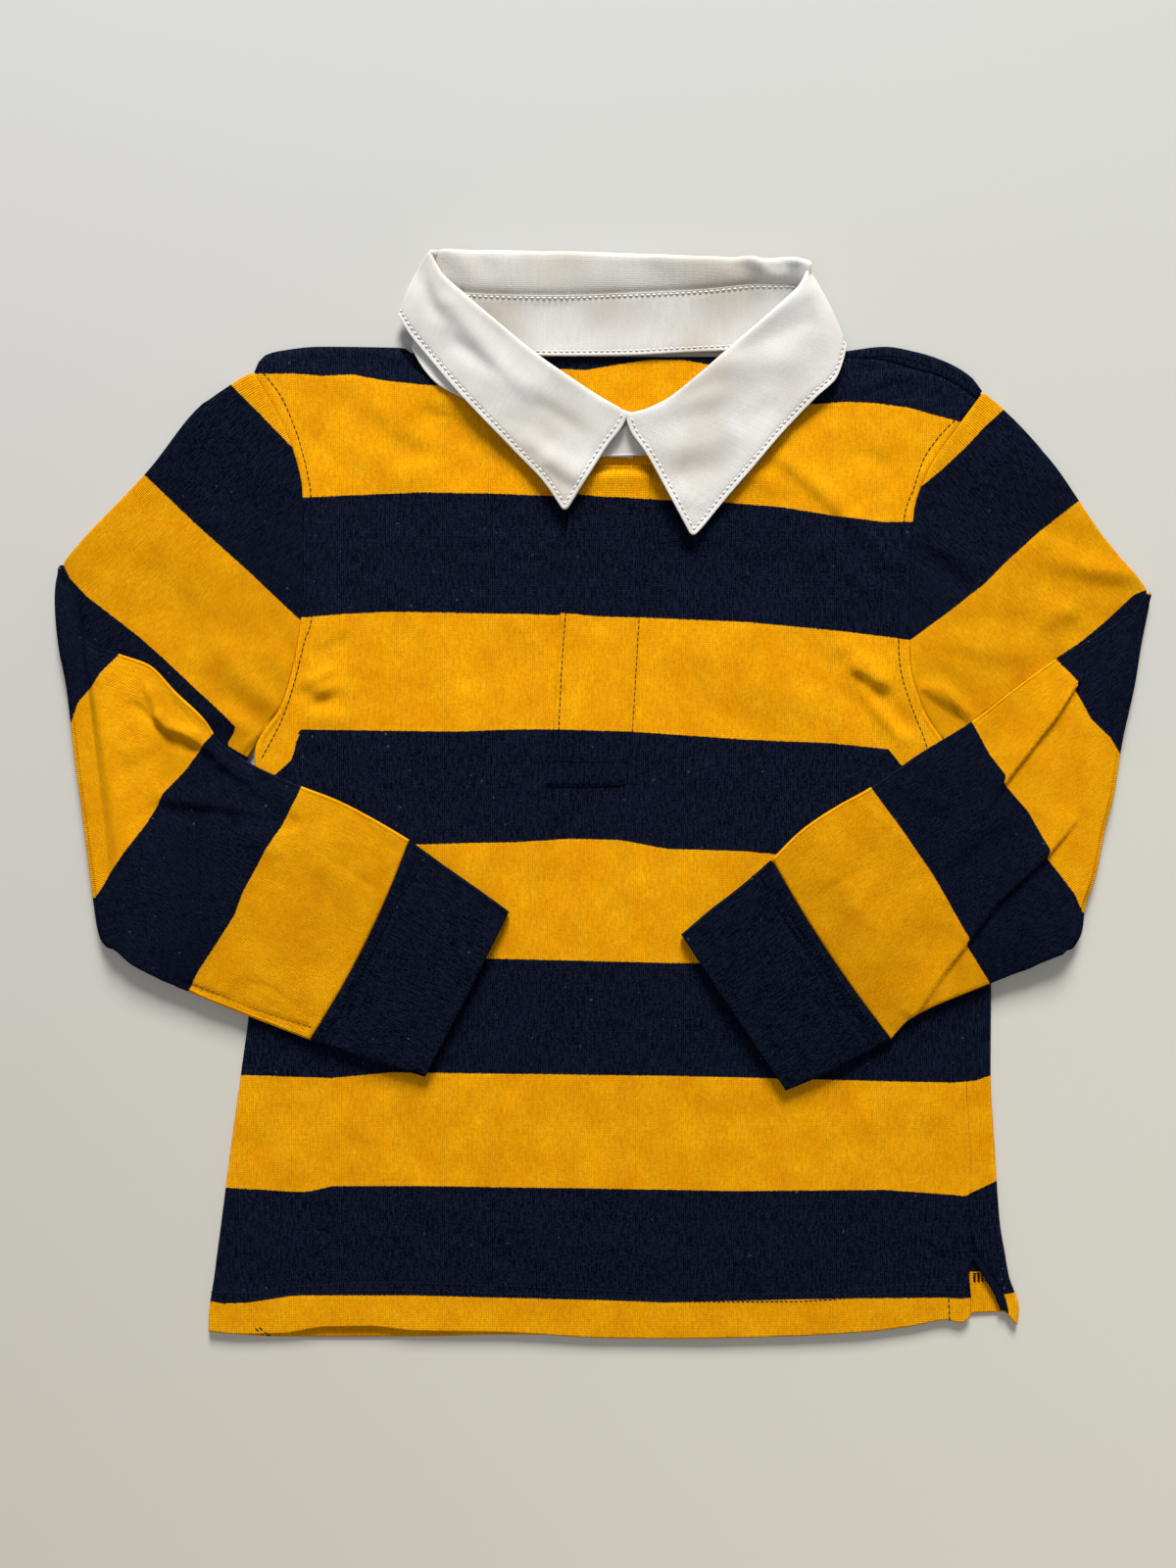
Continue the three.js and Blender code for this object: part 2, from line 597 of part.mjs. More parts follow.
function ridge(folds, p) {
  let height = 0;
  for (const fold of folds) {
    const a = at(fold.ax, fold.ay, FOREARM_Z);
    const b = at(fold.bx, fold.by, FOREARM_Z);
    const length = Math.hypot(b.x - a.x, b.y - a.y);
    const dx = (b.x - a.x) / length;
    const dy = (b.y - a.y) / length;
    const run = ((p.x - a.x) * dx + (p.y - a.y) * dy) / length;
    const off = (p.x - a.x) * -dy + (p.y - a.y) * dx;
    const side = off * Math.sign(-dy * 1 + dx * -1 || 1);
    const rise = side > 0 ? Math.max(0, 1 - side / fold.slope) : Math.max(0, 1 + side / fold.drop);
    const ends = THREE.MathUtils.clamp(Math.min(run + 0.12, 1.12 - run) / 0.12, 0, 1);
    height = Math.max(height, fold.height * rise * ends);
  }
  return height;
}

const UP = new THREE.Vector3(0, 0, 1);
const SLEEVE_COLUMNS = [0, 0.1, 0.2, 0.3, 0.4, 0.5, 0.6, 0.7, 0.8, 0.9, 1];

function sleeve({ armhole, elbow, forearm, outward, folds }) {
  const rings = [];
  const inset = FOLD_RADIUS + TUBE_MID;
  const hinge = (q) => {
    const p = along(elbow, mix(0.003, 0.997, q));
    return at(p.x - outward * inset, p.y, TUBE_MID + FOLD_RADIUS);
  };
  // upper arm, between the armhole and the hinge line of the fold
  for (const t of [0, 0.3, 0.65, 1]) {
    const shaped = (q) => {
      const seam = along(armhole, mix(0.004, 0.986, q));
      const clear = SEAM + 0.1 + 0.6 * q ** 6;
      const start = at(seam.x + outward * clear, seam.y, TUBE_MID);
      const end = hinge(q);
      return new THREE.Vector3(mix(start.x, end.x, t), mix(start.y, end.y, t), TUBE_MID);
    };
    rings.push(curvedRing(shaped, LAYER, UP));
  }
  // round the fold
  for (const turn of [36, 72, 108, 144, 180]) {
    const angle = THREE.MathUtils.degToRad(turn);
    const normal = new THREE.Vector3(outward * Math.sin(angle), 0, Math.cos(angle));
    const shaped = (q) => hinge(q).addScaledVector(normal, FOLD_RADIUS * 1)
      .add(new THREE.Vector3(0, 0, -2 * FOLD_RADIUS * Math.cos(angle)));
    rings.push(curvedRing(shaped, LAYER, normal));
  }
  // forearm, turned over
  const down = new THREE.Vector3(0, 0, -1);
  for (const row of forearm) {
    const z = FOREARM_Z + row.rise * (TUBE_MID + 2 * FOLD_RADIUS - FOREARM_Z);
    const a = at(row.ax, row.ay, z);
    const b = at(row.bx, row.by, z);
    const bow = outward * row.bow;
    const relief = { above: z + LAYER * 0.5, height: (p) => ridge(folds, p) };
    rings.push(ring({
      a, b, bow, normal: down, half: LAYER, thickness: JERSEY, columns: SLEEVE_COLUMNS, relief,
    }));
  }
  return rings;
}

// The same ring on a line that is given as a function of q.
function curvedRing(shaped, half, normal) {
  const length = shaped(0).distanceTo(shaped(1));
  const cap = half / length;
  const point = (q, offset) => shaped(q).addScaledVector(normal, offset);
  const points = [];
  points.push(point(cap * 0.25, -half * 0.7));
  points.push(point(0, 0));
  points.push(point(cap * 0.25, half * 0.7));
  for (const q of SLEEVE_COLUMNS) points.push(point(mix(cap, 1 - cap, q), half));
  points.push(point(1 - cap * 0.25, half * 0.7));
  points.push(point(1, 0));
  points.push(point(1 - cap * 0.25, -half * 0.7));
  for (const q of [...SLEEVE_COLUMNS].reverse()) points.push(point(mix(cap, 1 - cap, q), -half));
  return points;
}

function cuff(rows, outward) {
  const down = new THREE.Vector3(0, 0, -1);
  const columns = [0, 0.25, 0.5, 0.75, 1];
  return rows.map((row) => ring({
    a: at(row.ax, row.ay, CUFF_Z),
    b: at(row.bx, row.by, CUFF_Z),
    bow: outward * row.bow,
    normal: down,
    half: CUFF_LAYER,
    thickness: RIB,
    columns,
  }));
}

const leftSleeve = sleeve({
  armhole: ARMHOLE_LEFT, elbow: ELBOW_LEFT, forearm: FOREARM_LEFT, outward: -1, folds: FOLDS_LEFT,
});
const rightSleeve = sleeve({
  armhole: ARMHOLE_RIGHT, elbow: ELBOW_RIGHT, forearm: FOREARM_RIGHT, outward: 1, folds: FOLDS_RIGHT,
});

// Collar.

function standGrid() {
  const shares = [0, 0.32, 0.64, 0.96];
  return COLLAR.map((row) => shares.map((t) => {
    const flat = mix(row.nz, row.sz, t * t);
    return at(mix(row.nx, row.sx, t), mix(row.ny, row.sy, t), flat);
  }));
}

function fallGrid() {
  return COLLAR.map((row) => {
    const seam = at(row.sx, row.sy, row.sz);
    const roll = at(row.rx, row.ry, row.rz);
    const edge = at(row.ex, row.ey, row.ez);
    const back = row.ez < 1 ? 1 : 0;
    const out = new THREE.Vector3(roll.x - seam.x, roll.y - seam.y, 0).normalize();
    const radius = back ? 2.2 : 1.2;
    const start = seam.clone().lerp(roll, 0.06);
    const rise = roll.clone().addScaledVector(out, -2.4);
    rise.z = back ? roll.z : roll.z - 2 * radius;
    const crest = roll.clone();
    crest.z = back ? roll.z - radius : roll.z - radius;
    const over = roll.clone().addScaledVector(out, -2.4);
    over.z = back ? roll.z - 2 * radius : roll.z;
    const mid = over.clone().lerp(edge, 0.5);
    if (back) mid.z = mix(over.z, edge.z, 0.62);
    return [start, rise, crest, over, mid, edge];
  });
}

// Placket and vent tape.

const PLACKET_Z = FRONT_TOP + SEAM + JERSEY / 2;
const placketGrid = [...PLACKET].reverse().map((row) => (
  [0, 0.33, 0.66, 1].map((t) => at(mix(row.lx, row.rx, t), row.y, PLACKET_Z))));
const tapeGrid = VENT_TAPE.map((tape) => {
  const row = station(tape.at);
  const edge = row.rx - row.wrap - SEAM / 2;
  return [edge - tape.width, edge].map((x) => at(x, bodyLine(row, x), FRONT_Z - 0.2));
});

// The shirt.

const NAVY = 0x131a30;
const GOLD = 0xe9a40f;
const WHITE = 0xe6e3dd;

function piece(name, shape, color, roughness) {
  const finish = new THREE.MeshStandardMaterial({ color, roughness, metalness: 0 });
  const mesh = new THREE.Mesh(fromSolid(toSolid(shape)), finish);
  mesh.name = name;
  return mesh;
}

const group = new THREE.Group();
group.add(piece('back_panel', wall(backGrid(), JERSEY), GOLD, 0.95));
group.add(piece('front_panel', frontPanel, GOLD, 0.95));
group.add(piece('placket', wall(placketGrid, JERSEY), NAVY, 0.95));
group.add(piece('left_sleeve', wall(leftSleeve, JERSEY, true), GOLD, 0.95));
group.add(piece('right_sleeve', wall(rightSleeve, JERSEY, true), GOLD, 0.95));
group.add(piece('left_cuff', wall(cuff(CUFF_LEFT, -1), RIB, true), NAVY, 0.95));
group.add(piece('right_cuff', wall(cuff(CUFF_RIGHT, 1), RIB, true), NAVY, 0.95));
group.add(piece('collar_stand', wall(standGrid(), TWILL), WHITE, 0.9));
group.add(piece('collar_fall', wall(fallGrid(), TWILL), WHITE, 0.9));
group.add(piece('vent_tape', wall(tapeGrid, 1), NAVY, 0.95));

export default group;
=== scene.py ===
import math

import bpy
import numpy as np
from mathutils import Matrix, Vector, noise
from mathutils.bvhtree import BVHTree


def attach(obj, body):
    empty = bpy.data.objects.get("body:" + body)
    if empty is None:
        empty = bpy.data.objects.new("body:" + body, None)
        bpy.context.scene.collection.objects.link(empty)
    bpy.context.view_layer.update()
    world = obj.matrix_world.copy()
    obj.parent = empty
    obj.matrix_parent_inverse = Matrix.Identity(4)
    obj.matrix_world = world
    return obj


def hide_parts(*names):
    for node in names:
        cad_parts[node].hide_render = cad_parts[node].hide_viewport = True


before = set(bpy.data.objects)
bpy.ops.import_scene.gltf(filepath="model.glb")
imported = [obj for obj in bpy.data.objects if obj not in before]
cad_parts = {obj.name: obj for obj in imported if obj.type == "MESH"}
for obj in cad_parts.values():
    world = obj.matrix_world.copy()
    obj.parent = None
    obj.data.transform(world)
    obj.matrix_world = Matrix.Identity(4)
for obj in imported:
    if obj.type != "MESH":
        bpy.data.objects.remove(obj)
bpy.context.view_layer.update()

# A child's rugby shirt in gold and navy hoops, laid flat and face up, its forearms folded over the
# front. Sizes are in millimetres until a mesh is made. Plan sizes are as sighted on the surface
# from EYE, so a point that lies higher is drawn in towards EYE by its height.

MM = 0.001
EYE_X, EYE_Y, EYE_HEIGHT = -6.9, 3.0, 517.0
LENS = 27.04

JERSEY = 0.9
RIB = 1.35
TWILL = 1.15
LAYER = 1.1
CUFF_LAYER = 1.25
CLOSE = 0.06
TUBE_MID = 1.65
FRONT_Z = TUBE_MID + LAYER
FRONT_TOP = FRONT_Z + JERSEY / 2
FOLD_RADIUS = 2.35
FOREARM_Z = 5.35
CUFF_Z = 5.7
HOOP_DEPTH = 50.0

# Body, one row for each station from the hem to the shoulders.
BODY_NAMES = ("lx", "ly", "rx", "ry", "wrap", "gap", "closed", "shoulder", "hem")
BODY = (
    (-173.5, -237, 181.5, -232, 3.5, 17.2, 1, 0, 1),
    (-173.3, -229, 182.3, -225, 6.5, 14.7, 1, 0, 0.9),
    (-171, -213, 177.8, -211.5, 10, 7.4, 1, 0, 0.6),
    (-169.6, -202, 176, -201.5, 14, 0, 1, 0, 0.45),
    (-168, -190, 174, -190, 13.6, 0, 1, 0, 0.3),
    (-163.5, -155, 171.5, -155, 11, 0, 1, 0, 0.1),
    (-159, -122, 169.8, -122, 11, 0, 1, 0, 0),
    (-155, -88, 170, -88, 12.5, 0, 1, 0, 0),
    (-153.5, -40, 163, -44, 10, 0, 1, 0, 0),
    (-153, -5, 158, -10, 6, 0, 1, 0, 0),
    (-153, 17, 155.5, 9.5, 0, 0, 0, 0, 0),
    (-141, 38.5, 139.5, 37.5, 0, 0, 0, 0, 0),
    (-135, 61, 134.3, 58, 0, 0, 0, 0, 0),
    (-132.3, 82, 134, 80, 0, 0, 0, 0.05, 0),
    (-132, 106, 134.5, 102, 0, 0, 0, 0.15, 0),
    (-132, 129, 136, 122, 0, 0, 0, 0.35, 0),
    (-136.5, 150.5, 142.5, 141, 0, 0, 0, 0.6, 0),
    (-144.5, 168, 154, 158, 0, 0, 0, 0.82, 0),
    (-153.5, 183.5, 166.5, 175, 0, 0, 0, 1, 0),
)

# Shoulder line, and how far the back wraps over it to the seam.
SHOULDER_NAMES = ("x", "y", "over")
SHOULDER = (
    (-153.5, 183.5, 1),
    (-150, 190.5, 1),
    (-143, 193, 1),
    (-124.5, 195, 1),
    (-89, 194.5, 1),
    (-84, 193.5, 0),
    (8, 192, 0),
    (100, 192.5, 0),
    (106, 193, 2.5),
    (123.5, 195, 5.5),
    (138, 192.5, 6.5),
    (150, 188.5, 6),
    (161, 182, 5.5),
    (166.5, 175, 4),
)
HEM_FRONT = (
    (-173.5, -237), (-160, -238.3), (-141, -238), (-121.5, -235.2), (-103, -235), (-81, -237),
    (-46.5, -237.5), (1.5, -240), (31, -240.3), (72, -239.5), (113, -237.5), (133.5, -235),
    (151.5, -232), (154, -232.9), (157.5, -233.4), (160.5, -231), (181.5, -231),
)
HEM_BACK = (
    (-173.5, -237.3), (-141, -239.3), (-81, -239.2), (-46.5, -238.5), (31, -238.5), (113, -236),
    (151.5, -230), (175, -228.5), (181.5, -234.5),
)
NECK_FRONT = (
    (-91, 198), (-88, 191), (-83, 185), (-73, 179.5), (-52, 172), (-28, 161), (-8, 152.5),
    (8, 149), (24, 152.5), (46, 162), (68, 171.5), (90, 180.5), (101, 186), (107, 198),
)

# Where the hoops of the body change colour, from the shoulders to the hem.
FRONT_HOOPS = (
    ((-154, 183), (-136, 183), (-124, 182), (-110, 182.5), (-97, 180), (-79, 178), (60, 172),
     (91, 169.5), (106, 170.5), (119, 170), (134, 168), (148, 164), (157.5, 161.5)),
    ((-135, 128.5), (-114, 129.5), (-81, 131), (-51, 130.5), (-25, 129.5), (6, 129), (27.5, 127.5),
     (53.5, 126.5), (78, 124.5), (99.5, 121), (122, 118), (135.5, 118)),
    ((-132, 76), (-114, 77.5), (-93, 78.5), (-37, 77.5), (-19.5, 77), (15.5, 76), (62, 74),
     (99.5, 70.5), (128, 67), (134, 66)),
    ((-153, 3), (-143.6, 7.3), (-135.9, 14.6), (-133.7, 27), (-67, 26), (-37, 27), (-22, 27), (12.5, 26),
     (62, 22.5), (99.5, 21), (125, 18.3), (130.7, 10.8), (150, 4)),
    ((-150, -22), (-80, -23.5), (-37, -22.5), (-15, -21), (7, -21.5), (27.5, -25.5), (62, -26.5),
     (76, -28), (160, -32)),
    ((-154, -72), (-50, -73.5), (27.5, -75.5), (41.5, -75.5), (168, -84)),
    ((-158, -124.7), (-119, -126), (-93, -123.5), (27.5, -125), (70.5, -126), (128, -127.5),
     (153.5, -128), (163, -127), (169.5, -124.8)),
    ((-165.5, -174), (-133, -176), (-128, -175.5), (-119, -173.3), (-81, -173.3), (1.5, -174.5),
     (58, -175.5), (124, -175), (150, -177), (158.5, -177.8), (161, -176.5), (172, -171)),
    ((-173.5, -223.5), (-167, -225), (-155.5, -224.5), (-140, -222), (-132, -221.3), (-87, -221.3),
     (1.5, -223.5), (26.5, -224.5), (99.5, -222.8), (151.5, -222.3), (153, -222.8), (161, -222.5),
     (182, -220)),
)
# The same inside the back's neck and at the right vent, where the back shows.
BACK_NECK_HOOP = (
    (-40, 184), (-17, 185), (-8, 184.5), (6, 187), (20, 189), (35, 189), (46, 187), (70, 185),
)
BACK_VENT_HOOP = ((150, -210.7), (171, -210.7), (176, -219), (182, -219.8))

ELBOW_LEFT = (
    (-239.5, 99.5), (-241, 84.5), (-239.5, 64.5), (-236.2, 47.5), (-234, 30), (-232, 13),
    (-229, -9), (-226, -32.5), (-222, -61.5), (-217.5, -69.5),
)
ELBOW_RIGHT = (
    (241, 87.5), (239, 79), (236, 64.5), (233, 46), (228.5, 26), (226.5, 15), (224, -1.5),
    (220, -17), (216, -37), (211.5, -50), (209.8, -62), (205.5, -70),
)
OUTER_LEFT = ((-155, 188), (-171.5, 173.5), (-179, 166.5), (-200.5, 137.5), (-239.5, 99.5))
OUTER_RIGHT = ((168, 176.5), (176, 167.5), (196.5, 142), (214.5, 115.5), (228.5, 98.5), (241, 87.5))

# Forearms, one row for each cross line from the elbow to the cuff seam: upper end, lower end,
# bow towards the cuff, and rise as a share of the elbow fold's height over the resting height.
FOREARM_NAMES = ("ax", "ay", "bx", "by", "bow", "rise")
FOREARM_LEFT = (
    (-231.5, 86, -213, -71, 1, 1.0),
    (-227, 66, -207.5, -76, 2, 0.94),
    (-212.5, 60, -201.5, -79.5, 3, 0.78),
    (-200, 55.5, -196.5, -82, 3, 0.6),
    (-188, 43.5, -193.5, -83.5, 3, 0.4),
    (-176, 32, -191, -84.5, 3, 0.2),
    (-168.5, 21.5, -188.5, -85.5, 3, 0.1),
    (-154, 11.5, -186, -86.7, 3, 0),
    (-132.5, 2, -182.5, -88, 3, 0),
    (-117, -4, -166, -95, 3, 0),
    (-97, -14.5, -144, -103.5, 3, 0),
    (-85.3, -21.5, -129, -109.3, 3, 0),
)
FOREARM_RIGHT = (
    (233.5, 79.5, 201, -72, 1, 1.0),
    (221, 71, 196, -74, 2, 0.92),
    (208.5, 63.5, 191, -76, 2, 0.74),
    (198, 57.5, 187, -78, 2, 0.5),
    (180, 44.5, 180, -80.5, 2, 0.2),
    (161, 30, 172.5, -83.5, 2, 0),
    (139, 16.5, 165, -86.5, 2, 0),
    (117, 1.5, 156, -90, 2, 0),
    (101, -7.5, 143, -95.5, 2, 0),
    (87, -17, 134, -100.5, 2, 0),
    (73.7, -30, 126, -109, 2, 0),
)
CUFF_NAMES = ("ax", "ay", "bx", "by", "bow", "rise")
CUFF_LEFT = (
    (-85, -21.8, -128.5, -109.3, 3, 0),
    (-71, -32, -112.5, -115, 2, 0),
    (-56, -42.5, -95.5, -120.3, 1, 0),
    (-41.5, -53, -78.5, -125.5, 0.3, 0),
)
CUFF_RIGHT = (
    (73.4, -30.4, 125.6, -109.3, 2, 0),
    (60.5, -41.5, 110.5, -117.5, 1.5, 0),
    (47, -52, 95.5, -125, 0.7, 0),
    (34, -63, 80, -131.5, 0.3, 0),
)

# Where the sleeves change colour: lines across the upper arm, then across the forearm.
LEFT_UPPER_HOOPS = (
    ((-155.5, 201), (-164.7, 179.3), (-150, 164.5), (-136.5, 150.5), (-120, 134)),
    ((-213, 149), (-200.5, 137.7), (-180, 118), (-155, 95.5), (-132.3, 74), (-110, 52)),
    ((-248, 106), (-235.6, 94.6), (-226.2, 84.7), (-204.7, 68.4), (-193, 58), (-178.9, 44.7), (-166, 33),
     (-160.8, 27.5), (-165.5, 20), (-152, 12), (-140, 6)),
    ((-255, 50), (-233.5, 29.7), (-200, -2), (-150, -50)),
    ((-245, -20), (-221.5, -45), (-190, -75), (-170, -95)),
)
LEFT_FORE_HOOPS = (
    ((-212.5, 60), (-220.6, 51.6), (-225, 45), (-230.5, 39.6), (-233.5, 29.7), (-238, 20)),
    ((-160, 40), (-177.6, 17.2), (-182.3, 10.3), (-193, -1.3), (-200.4, -14.2), (-210.3, -27.1),
     (-216.3, -35.7), (-222, -45.2), (-230, -58)),
    ((-128, 12), (-132.5, 2.2), (-134.6, -2.6), (-142.3, -17.2), (-148.8, -27.1), (-158.2, -44.3),
     (-161.7, -54.2), (-169, -65.8), (-177.6, -78.7), (-182.3, -88.2), (-190, -101)),
)
RIGHT_UPPER_HOOPS = (
    ((190, 180), (175.9, 167.7), (166.4, 159.1), (159.5, 151.4), (147.9, 140.6), (140.2, 134.2), (120, 117)),
    ((224, 143), (208.1, 126.9), (190.9, 113.5), (176.7, 100.6), (166.4, 90.3), (152.2, 79.1), (134.2, 65.8),
     (115, 50)),
    ((252, 96), (240.4, 89), (232.6, 86), (219.7, 74), (209.4, 65.4), (198.2, 58.1), (180, 45), (150, 22)),
    ((245, 40), (226.6, 15.9), (200, -5), (160, -40)),
    ((230, -35), (209.8, -52.9), (190, -75), (170, -95)),
)
RIGHT_FORE_HOOPS = (
    ((190, 67), (198.7, 57.6), (207.6, 47.5), (206.5, 44.5), (213.7, 31.4), (222.3, 23.2),
     (226.6, 15.9), (234, 5)),
    ((150, 42), (161.7, 30.1), (169.4, 15.9), (175.8, 6.5), (174.6, 3.9), (186.6, -9.9), (195.2, -25.8),
     (194.2, -29.2), (206.8, -45.6), (209.8, -52.9), (218, -68)),
    ((110, 12), (117, 1.7), (127.7, -12.9), (143.6, -35.7), (152.2, -50.7), (160, -64.5), (158.7, -67.1),
     (165.1, -77.4), (169.4, -84.3), (178, -98)),
)

# Collar, one row for each station from the left front round the back to the right front: neck
# edge, seam of stand and fall, roll, and free edge of the fall, each with its height.
COLLAR_NAMES = ("nx", "ny", "nz", "sx", "sy", "sz", "rx", "ry", "rz", "ex", "ey", "ez")
COLLAR = (
    (13, 146.2, 4.3, 10.4, 160.2, 7.1, 10, 166.8, 9.9, -17, 122, 7.2),
    (-9, 147.4, 4.5, -7, 165, 7.8, -3, 174.3, 10.6, -27, 136.3, 6.6),
    (-30, 157, 4.6, -22, 176, 8.2, -16, 182.9, 11.2, -38, 147.8, 6.5),
    (-46, 164.5, 4.6, -36, 187, 8.4, -29.5, 192.3, 11.6, -52, 162.2, 6.7),
    (-60, 171.5, 4.6, -51, 198, 8.6, -44, 204.3, 11.9, -64, 175, 6.7),
    (-73, 178.5, 4.6, -66, 209, 8.4, -60, 217.8, 12, -76, 189.2, 6.7),
    (-80, 186.5, 4.3, -76.5, 217, 8, -71.5, 228.5, 12, -85.3, 200.8, 6.6),
    (-84, 194, 3.4, -78, 221, 6.8, -76.5, 238, 11, -89.7, 208.5, 4.2),
    (-76, 193, 2.3, -70, 219.5, 6, -66, 238.3, 10, -80, 204, 0.7),
    (-53, 191.5, 2.3, -49, 218, 6, -47, 238, 9.5, -54, 202, 0.7),
    (-22, 190.8, 2.3, -20, 217.5, 6, -20, 237.6, 9.2, -20, 201, 0.7),
    (8, 191, 2.3, 10, 218.5, 6, 10, 236.6, 9.2, 10, 200, 0.7),
    (40, 192.5, 2.3, 41, 220, 6, 41, 235.6, 9.5, 42, 200, 0.7),
    (70, 193.5, 2.3, 68, 222.5, 6, 66, 235.3, 10, 72, 200, 0.7),
    (93, 193.5, 2.3, 80.5, 222.5, 6, 82, 234.8, 10.6, 97, 199, 0.7),
    (100.5, 192.5, 3.4, 89, 219, 6.8, 91, 233, 11, 106, 195, 4.2),
    (97, 184.5, 4.3, 90.5, 212, 8, 86.7, 223.8, 12, 102.3, 181.8, 6.6),
    (86, 178, 4.6, 79.5, 204, 8.4, 74.5, 211.8, 12, 92.3, 171.8, 6.7),
    (72, 171, 4.6, 63.5, 190, 8.6, 57.5, 197.2, 11.9, 79.3, 158.2, 6.7),
    (56, 163.5, 4.6, 47.5, 178.5, 8.4, 41, 182.7, 11.6, 66.2, 142.8, 6.7),
    (38, 155, 4.6, 32.5, 168, 8.2, 26, 171.2, 11.2, 53.2, 127.8, 6.6),
    (22.5, 147.6, 5.3, 19.5, 161.5, 8, 16, 167.2, 10.6, 43.2, 115.6, 6.9),
    (-8, 146.6, 5.5, 9.2, 160, 8.4, 10.4, 166.4, 9.9, 38.9, 110.9, 7.4),
)

PLACKET_NAMES = ("y", "lx", "rx")
PLACKET = (
    (2, -25.8, 10.3),
    (8, -24.5, 10.8),
    (27, -22, 12.5),
    (53, -20.5, 14),
    (77.5, -19, 15.5),
    (102.5, -17, 17.5),
    (143, -14, 21),
)


# Tools for tables and lines.

def column(rows, names, name):
    return np.array([row[names.index(name)] for row in rows], float)


def soft_curve(xs, ys):
    """A smooth curve through a table that never overshoots its values."""
    xs, ys = np.asarray(xs, float), np.asarray(ys, float)
    steps = np.diff(xs)
    slopes = np.diff(ys) / np.where(steps == 0, 1e-9, steps)
    tangents = np.zeros_like(ys)
    tangents[0], tangents[-1] = slopes[0], slopes[-1]
    for i in range(1, len(xs) - 1):
        a, b = slopes[i - 1], slopes[i]
        if a * b > 0:
            tangents[i] = 2 * a * b / (a + b)

    def value(x):
        x = np.clip(np.asarray(x, float), xs[0], xs[-1])
        i = np.clip(np.searchsorted(xs, x, side="right") - 1, 0, len(xs) - 2)
        h = np.maximum(xs[i + 1] - xs[i], 1e-9)
        t = (x - xs[i]) / h
        return (
            ys[i] * (1 + 2 * t) * (1 - t) ** 2
            + ys[i + 1] * t * t * (3 - 2 * t)
            + h * tangents[i] * t * (1 - t) ** 2
            + h * tangents[i + 1] * t * t * (t - 1)
        )

    return value


def by_row(rows, names):
    """Smooth columns of a table as functions of the row's number."""
    places = np.arange(len(rows))
    return {name: soft_curve(places, column(rows, names, name)) for name in names}


def plan_line(points):
    """A smooth plan line; place(q) is the point at the share q of its length."""
    pts = np.array(points, float)
    number = np.arange(len(pts))
    fine = np.linspace(0, len(pts) - 1, 40 * len(pts))
    x, y = catmull(number, pts[:, 0])(fine), catmull(number, pts[:, 1])(fine)
    length = np.concatenate([[0], np.cumsum(np.hypot(np.diff(x), np.diff(y)))])
    share = length / length[-1]
    return lambda q: (np.interp(q, share, x), np.interp(q, share, y))


def catmull(xs, ys):
    """A smooth curve through a table of evenly numbered points."""
    ys = np.asarray(ys, float)
    tangents = np.gradient(ys)

    def value(x):
        x = np.clip(np.asarray(x, float), xs[0], xs[-1])
        i = np.clip(np.floor(x).astype(int), 0, len(ys) - 2)
        t = x - i
        return (
            ys[i] * (1 + 2 * t) * (1 - t) ** 2
            + ys[i + 1] * t * t * (3 - 2 * t)
            + tangents[i] * t * (1 - t) ** 2
            + tangents[i + 1] * t * t * (t - 1)
        )

    return value


def run_along(points):
    """Distance along a line of places from its first one."""
    return np.concatenate([[0], np.cumsum(np.linalg.norm(np.diff(points, axis=0), axis=1))])


def mix(a, b, t):
    return a + (b - a) * t


def smooth_step(a, b, x):
    t = np.clip((x - a) / (b - a), 0, 1)
    return t * t * (3 - 2 * t)


def at(x, y, z):
    """Sighted plan place and height to a true place, in millimetres."""
    x, y, z = np.broadcast_arrays(np.asarray(x, float), np.asarray(y, float), np.asarray(z, float))
    near = 1 - z / EYE_HEIGHT
    return np.stack([EYE_X + (x - EYE_X) * near, EYE_Y + (y - EYE_Y) * near, z], axis=-1)


def wave_noise(x, y, size, seed):
    """Even, repeatable rolling of a cloth surface, from -1 to 1."""
    x, y = np.broadcast_arrays(np.asarray(x, float), np.asarray(y, float))
    flat = [noise.noise(Vector((a / size, b / size, seed * 7.31))) for a, b in zip(x.ravel(), y.ravel())]
    return np.array(flat).reshape(x.shape)


def soft_folds(x, y, size, slant, seed):
    """Thin uneven creases where a rolling changes its sign, in places only."""
    rolling = wave_noise(x + slant * y, y * 0.62, size, seed)
    crease = np.clip(1 - np.abs(rolling) * 5.5, 0, 1) ** 1.6
    where = smooth_step(0.0, 0.35, wave_noise(x, y, size * 1.9, seed + 40))
    return crease * where


def segment_distance(x, y, ax, ay, bx, by):
    """Signed distance from a segment, positive on its left, and the share of the way along it."""
    dx, dy = bx - ax, by - ay
    length = math.hypot(dx, dy)
    dx, dy = dx / length, dy / length
    along = ((x - ax) * dx + (y - ay) * dy) / length
    return (x - ax) * -dy + (y - ay) * dx, along


CREASE_NAMES = ("ax", "ay", "bx", "by", "height", "left", "right")
CREASE_DEPTH, CREASE_WIDTH, CREASE_FADE = 1.75, 0.9, 0.22
# Shares of its width that a crease has on the side that faces the window, and on the other.
GENTLE, STEEP = 1.2, 0.78


